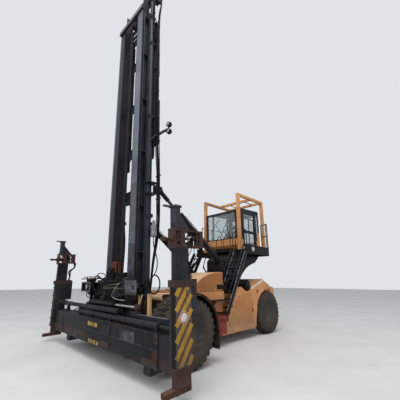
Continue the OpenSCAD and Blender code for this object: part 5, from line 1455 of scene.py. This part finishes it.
# Valve in the pocket, with two short hoses
hd.box(-2130, -1960, 1064, 1112, 1500, 1572)
hd.turned((-1925, 1070, 1540), ACROSS, [(0, 26), (30, 26), (36, 16), (52, 16), (52, 0.1)], 16)
hd.tube([(-2100, 1100, 1520), (-2160, 1140, 1490), (-2230, 1150, 1440), (-2290, 1120, 1360)], 12, 8)
hd.tube([(-2060, 1100, 1560), (-2160, 1150, 1560), (-2260, 1160, 1500), (-2300, 1120, 1400)], 12, 8)
hd.build("hood_detail", "chassis", ["peach", "black"], "body_peach", 0.0015)

# Air cleaner: clamp bands, pleated cap, inlet mouth and hose
ac = Shape()
for y in (600, 850, 1080):
    ac.band((-3400, y, 1600), ACROSS, 150.5, 155, 26, 40)
    ac.box(-3420, -3380, y, y + 26, 1750, 1768)
for p in circle(Vector((-3400, 1119, 1600)), Vector(FRONT), Vector(UP), 112, 24):
    ac.rod(p, p + 19 * Vector(ACROSS), 7, 6)
ac.turned((-3400, 1140, 1600), ACROSS, [(0, 100), (8, 96), (14, 60), (20, 56), (20, 0.1)], 30)
ac.tube([(-3400, 560, 1600), (-3500, 470, 1610), (-3560, 330, 1560), (-3560, 240, 1480)], 60, 14, 5)
ac.build("air_cleaner_detail", "chassis", "black", "black_paint", 0.001)

# Tilt cylinders: glands, clamps, ports and the hoses to them
tc = Shape()
FOOT_X, FOOT_Z = -2350, 2300
EYE_X = 200 + -260 * LC + 3390 * LS
EYE_Z = 700 + 260 * LS + 3390 * LC
length = math.hypot(EYE_X - FOOT_X, EYE_Z - FOOT_Z)
dx, dz = (EYE_X - FOOT_X) / length, (EYE_Z - FOOT_Z) / length


def along(t, off=0.0):
    """The point t up the left cylinder's axis and off above it."""
    return (FOOT_X + dx * t - dz * off, 800, FOOT_Z + dz * t + dx * off)


for _ in tc.both():
    for t in (180, 760, 1400, 1960):
        tc.band(along(t), (dx, 0, dz), 85.5, 91, 30, 30)
    tc.turned(along(2035), (dx, 0, dz), [(0, 86), (0, 98), (52, 98), (60, 88), (60, 47)], 30)
    for t in (230, 1900):
        tc.rod(along(t, 84), along(t, 124), 20, 12)
    tc.kind = 1
    tc.tube([along(230, 124), along(260, 170), along(600, 150), along(1000, 128), along(1500, 132),
             along(1900, 124)], 10, 8)
    tc.kind = 0
tc.build("tilt_cylinder_detail", "tilt_barrels", ["black", "hose"], "black_paint", 0.001)

ts = Shape()
for _ in ts.both():
    ts.turned(along(length - 400), (dx, 0, dz), [(0, 46), (4, 60), (290, 60), (300, 74), (334, 74)], 28)
    ts.turned((EYE_X, 761, EYE_Z), (0, -1, 0), [(0, 56), (6, 56), (8, 48), (8, 40)], 26)
ts.build("tilt_rod_sleeves", "tilt_rods", "black", "black_paint", 0.001)

# Deck hood: a curved cover on the left half over a low moulded deck
HX = [(-985, 1362), (-992, 1450), (-1001, 1528), (-1026, 1572), (-1060, 1618), (-1113, 1680), (-1160, 1718),
      (-1210, 1753), (-1268, 1785), (-1340, 1817), (-1400, 1842), (-1471, 1868), (-1560, 1892),
      (-1640, 1911), (-1725, 1928), (-1860, 1947), (-1993, 1960), (-2150, 1960)]
ha = Shape()
deck = [(-2170, 1200), (-875, 1200), (-875, 1372), (-882, 1384), (-888, 1384), (-888, 1412), (-896, 1424),
        (-2150, 1424), (-2160, 1412), (-2160, 1384), (-2170, 1372)]
for y0, y1 in ((-1125, -857), (-742, 742), (857, 1125)):
    ha.slab(deck, y0, y1)
for _ in ha.both():
    ha.box(-2150, -896, 742, 857, 1377, 1424)
notch = [(-2150, 1606), (-1884, 1606), (-1884, 1474), (-2150, 1474)]
ha.slab(HX + notch + [(-2150, 1384), (-985, 1384)], 1060, 1100)
ha.slab(HX + [(-2150, 1384), (-985, 1384)], 130, 1060)
# The side face below the curved edge takes the darker peach: painted shade.
ha.kind = 1
inset = [(x - 3 if k > 14 else x - 6, z - 16) for k, (x, z) in enumerate(HX[2:])]
ha.slab(inset + [(-2147, 1606), (-1884, 1606), (-1884, 1474), (-2147, 1474), (-2147, 1430), (-1006, 1430)],
        1100, 1102.4)
# The curved top skin takes the paler peach: painted highlight.
ha.kind = 3
skin = HX[1:-1]
ha.slab([(x + 0.6, z + 0.6) for x, z in skin] + [(x + 2.2, z + 2.2) for x, z in skin[::-1]], 131, 1099)
# Black back wall of the pocket: painted shade in the recess.
ha.kind = 2
ha.box(-2148, -1886, 1060, 1064, 1476, 1604)
ha.kind = 0
for y in (-900, -600, -300, 0):
    ha.box(-2140, -906, y, y + 20, 1424, 1432)
ha.turned((-1300, -480, 1424), UP, [(0, 90), (10, 90), (14, 74), (46, 70), (52, 60), (52, 0.1)], 30)
o = ha.build("deck_cover", "chassis", ["peach", "arc", "grille", "highlight_peach"], "body_peach", 0.004)
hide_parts("deck_hood")

# Fenders: from the top of the wheel back, with a rolled edge and a hanging rear flap
fe = Shape()
# Inner radius of the fender about the axle
FR = 765


def swept(shape, section, angles):
    """A section of (radius, y) points carried round the drive axle, on the shape's side."""
    n = len(section)
    verts = [(r * math.cos(a), shape.side * y, AXLE_Z + r * math.sin(a)) for a in angles for r, y in section]
    faces = [tuple(range(n)), tuple(range(len(verts) - 1, len(verts) - n - 1, -1))]
    for i in range(len(angles) - 1):
        for k in range(n):
            j = (k + 1) % n
            faces.append((i * n + k, i * n + j, (i + 1) * n + j, (i + 1) * n + k))
    shape.add(verts, faces)


arch = [math.radians(90.5 + 89.5 * k / 26) for k in range(27)]
for _ in fe.both():
    swept(fe, [(FR, 1290), (FR, 2110), (FR - 34, 2112), (FR - 36, 2128), (FR + 14, 2130),
               (FR + 25, 2120), (FR + 25, 1270), (695, 1270), (695, 1290)], arch)
    for k in (0, 9, 18, 25):
        swept(fe, [(FR + 24, 1272), (FR + 24, 2106), (FR + 38, 2098), (FR + 38, 1280)],
              [arch[k], arch[k] + 0.035])
    fe.slab([(-FR - 25, 690), (-FR, 690), (-FR - 2, 480), (-FR + 4, 296), (-FR - 16, 290), (-FR - 27, 480)],
            1270, 2130)
    fe.bolts(-FR - 27, (1340, 1620, 1900, 2080), (640, 560), BACK, 12, 9)
o = fe.build("fender_arches", "chassis", "fender", "black_paint", 0.002)
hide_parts("fenders")

# Rear: lamps, grille, tow pocket plates and reflectors on the counterweight
REAR_LENS = [(0, 40), (1.5, 38), (3, 24), (3.2, 0.1)]
rr = Shape()
for _ in rr.both():
    rr.kind = 0
    rr.box(-5622, -5619, 560, 760, 1180, 1300)
    rr.kind = 1
    rr.turned((-5622, 710, 1240), BACK, REAR_LENS, 20)
    rr.kind = 2
    rr.turned((-5622, 615, 1240), BACK, REAR_LENS, 20)
    rr.kind = 1
    rr.box(-5623, -5619, 690, 770, 1040, 1080)
    rr.kind = 0
    rr.bolts(-5619, (300, 560), (700, 860), BACK, 26, 5)
rr.kind = 0
for k in range(9):
    z = 1330 - 36 * k
    rr.slab([(-5619, z), (-5624, z - 12), (-5624, z - 20), (-5619, z - 12)], -420, 420)
for y in (-440, 424):
    rr.box(-5624, -5619, y, y + 16, 1010, 1350)
rr.slab([(-5624, 770), (-5619, 770), (-5619, 790), (-5624, 786)], -120, 120)
rr.slab([(-5624, 630), (-5619, 630), (-5619, 610), (-5624, 614)], -120, 120)
rr.build("rear_detail", "chassis", ["black", "tail", "amber"], "black_paint", 0.0015)

# Underside: hose runs, propeller shaft and step edges; then the lids of the side boxes
ud = Shape()
for k in range(4):
    ud.tube([(-3300, -250 + 130 * k, 610), (-2500, -260 + 130 * k, 590), (-1500, -240 + 120 * k, 592),
             (-700, -220 + 110 * k, 600), (-420, -200 + 100 * k, 690)], 16, 8)
ud.rod((-1900, 0, 690), (-560, 0, 690), 52, 16)
ud.rod((-900, 0, 690), (-840, 0, 690), 84, 16)
for _ in ud.both():
    ud.box(-2148, -902, 1200, 1206, 1168, 1206)
ud.build("underside_runs", "chassis", "black", "black_paint", 0.001)
bx = Shape()
for _ in bx.both():
    bx.box(-2030, -1630, 1300, 1305, 655, 772)
    bx.kind = 1
    bx.rod((-1900, 1304, 700), (-1900, 1322, 700), 8, 8)
    bx.rod((-1760, 1304, 700), (-1760, 1322, 700), 8, 8)
    bx.rod((-1905, 1320, 700), (-1755, 1320, 700), 8, 8)
    bx.bolts((-2010, -1650), 1300, (360, 600), ACROSS, 8, 6)
    bx.kind = 0
bx.build("box_lids", "chassis", ["red", "black"], "rust_brown", 0.001)

# Deck: brown step plates with raised studs and a rounded nose in the paler peach, a painted highlight
sd = Shape()
for _ in sd.both():
    sd.kind = 1
    sd.slab([(-398, 1410.1), (-398, 1418), (120, 1418), (166, 1410), (192, 1388), (204, 1352), (204, 1300),
             (190, 1276), (181, 1276), (181, 1410.1)], 810, 1262)
    sd.kind = 0
    sd.box(-890, -400, 810, 1262, 1410.1, 1414)
    for i in range(8):
        for j in range(7):
            x = -860 + 58 * i
            y = 845 + 62 * j
            sd.rod((x, y, 1414), (x, y, 1418), 9, 6)
    sd.box(-2140, -910, 1104, 1196, 1200.2, 1204)
    for i in range(20):
        x = -2120 + 62 * i
        sd.rod((x, 1150, 1204), (x, 1150, 1208), 10, 6)
sd.build("step_plates", "chassis", ["brown", "highlight_peach"], "body_peach", 0.001)
# Floor and light
floor = bpy.data.meshes.new("floor")
floor.from_pydata([(-60, -60, 0), (60, -60, 0), (60, 60, 0), (-60, 60, 0)], [], [(0, 1, 2, 3)])
floor_o = linked("floor", floor)
t = Tree("floor_plain", (206, 205, 203))
t.over(t.ramp(t.noise(0.8, 4), 0.3, 0.7), (214, 213, 211))
t.bump(t.noise(30, 3), 0.05, 0.002)
floor.materials.append(t.finish(t.ramp(t.noise(2.0, 3), 0.2, 0.8, 0.8, 0.92)))

world = bpy.data.worlds.new("studio")
scene.world = world
world.use_nodes = True
nt = world.node_tree
nt.nodes.clear()
out = nt.nodes.new("ShaderNodeOutputWorld")
light = nt.nodes.new("ShaderNodeBackground")
light.inputs[0].default_value = (0.93, 0.96, 1.0, 1)
light.inputs[1].default_value = 0.62
seen = nt.nodes.new("ShaderNodeBackground")
seen.inputs[0].default_value = (0.745, 0.775, 0.81, 1)
seen.inputs[1].default_value = 1.0
path = nt.nodes.new("ShaderNodeLightPath")
seen_by = path.outputs["Is Camera Ray"]
for kind in ("Is Transmission Ray", "Is Glossy Ray"):
    either = nt.nodes.new("ShaderNodeMath")
    either.operation = "MAXIMUM"
    nt.links.new(seen_by, either.inputs[0])
    nt.links.new(path.outputs[kind], either.inputs[1])
    seen_by = either.outputs[0]
mixer = nt.nodes.new("ShaderNodeMixShader")
nt.links.new(seen_by, mixer.inputs[0])
nt.links.new(light.outputs[0], mixer.inputs[1])
nt.links.new(seen.outputs[0], mixer.inputs[2])
nt.links.new(mixer.outputs[0], out.inputs[0])


def lamp(name, place, size, power, target=(0, 0, 3)):
    """A round area lamp that looks at the target."""
    d = bpy.data.lights.new(name, "AREA")
    d.shape = "DISK"
    d.size = size
    d.energy = power
    o = linked(name, d)
    o.location = place
    o.rotation_euler = (Vector(target) - Vector(place)).to_track_quat("-Z", "Y").to_euler()


lamp("key_light", (8, 8, 19), 12, 2300)
lamp("fill_light", (14, 2, 9), 12, 620)

scene.view_settings.view_transform = "Standard"
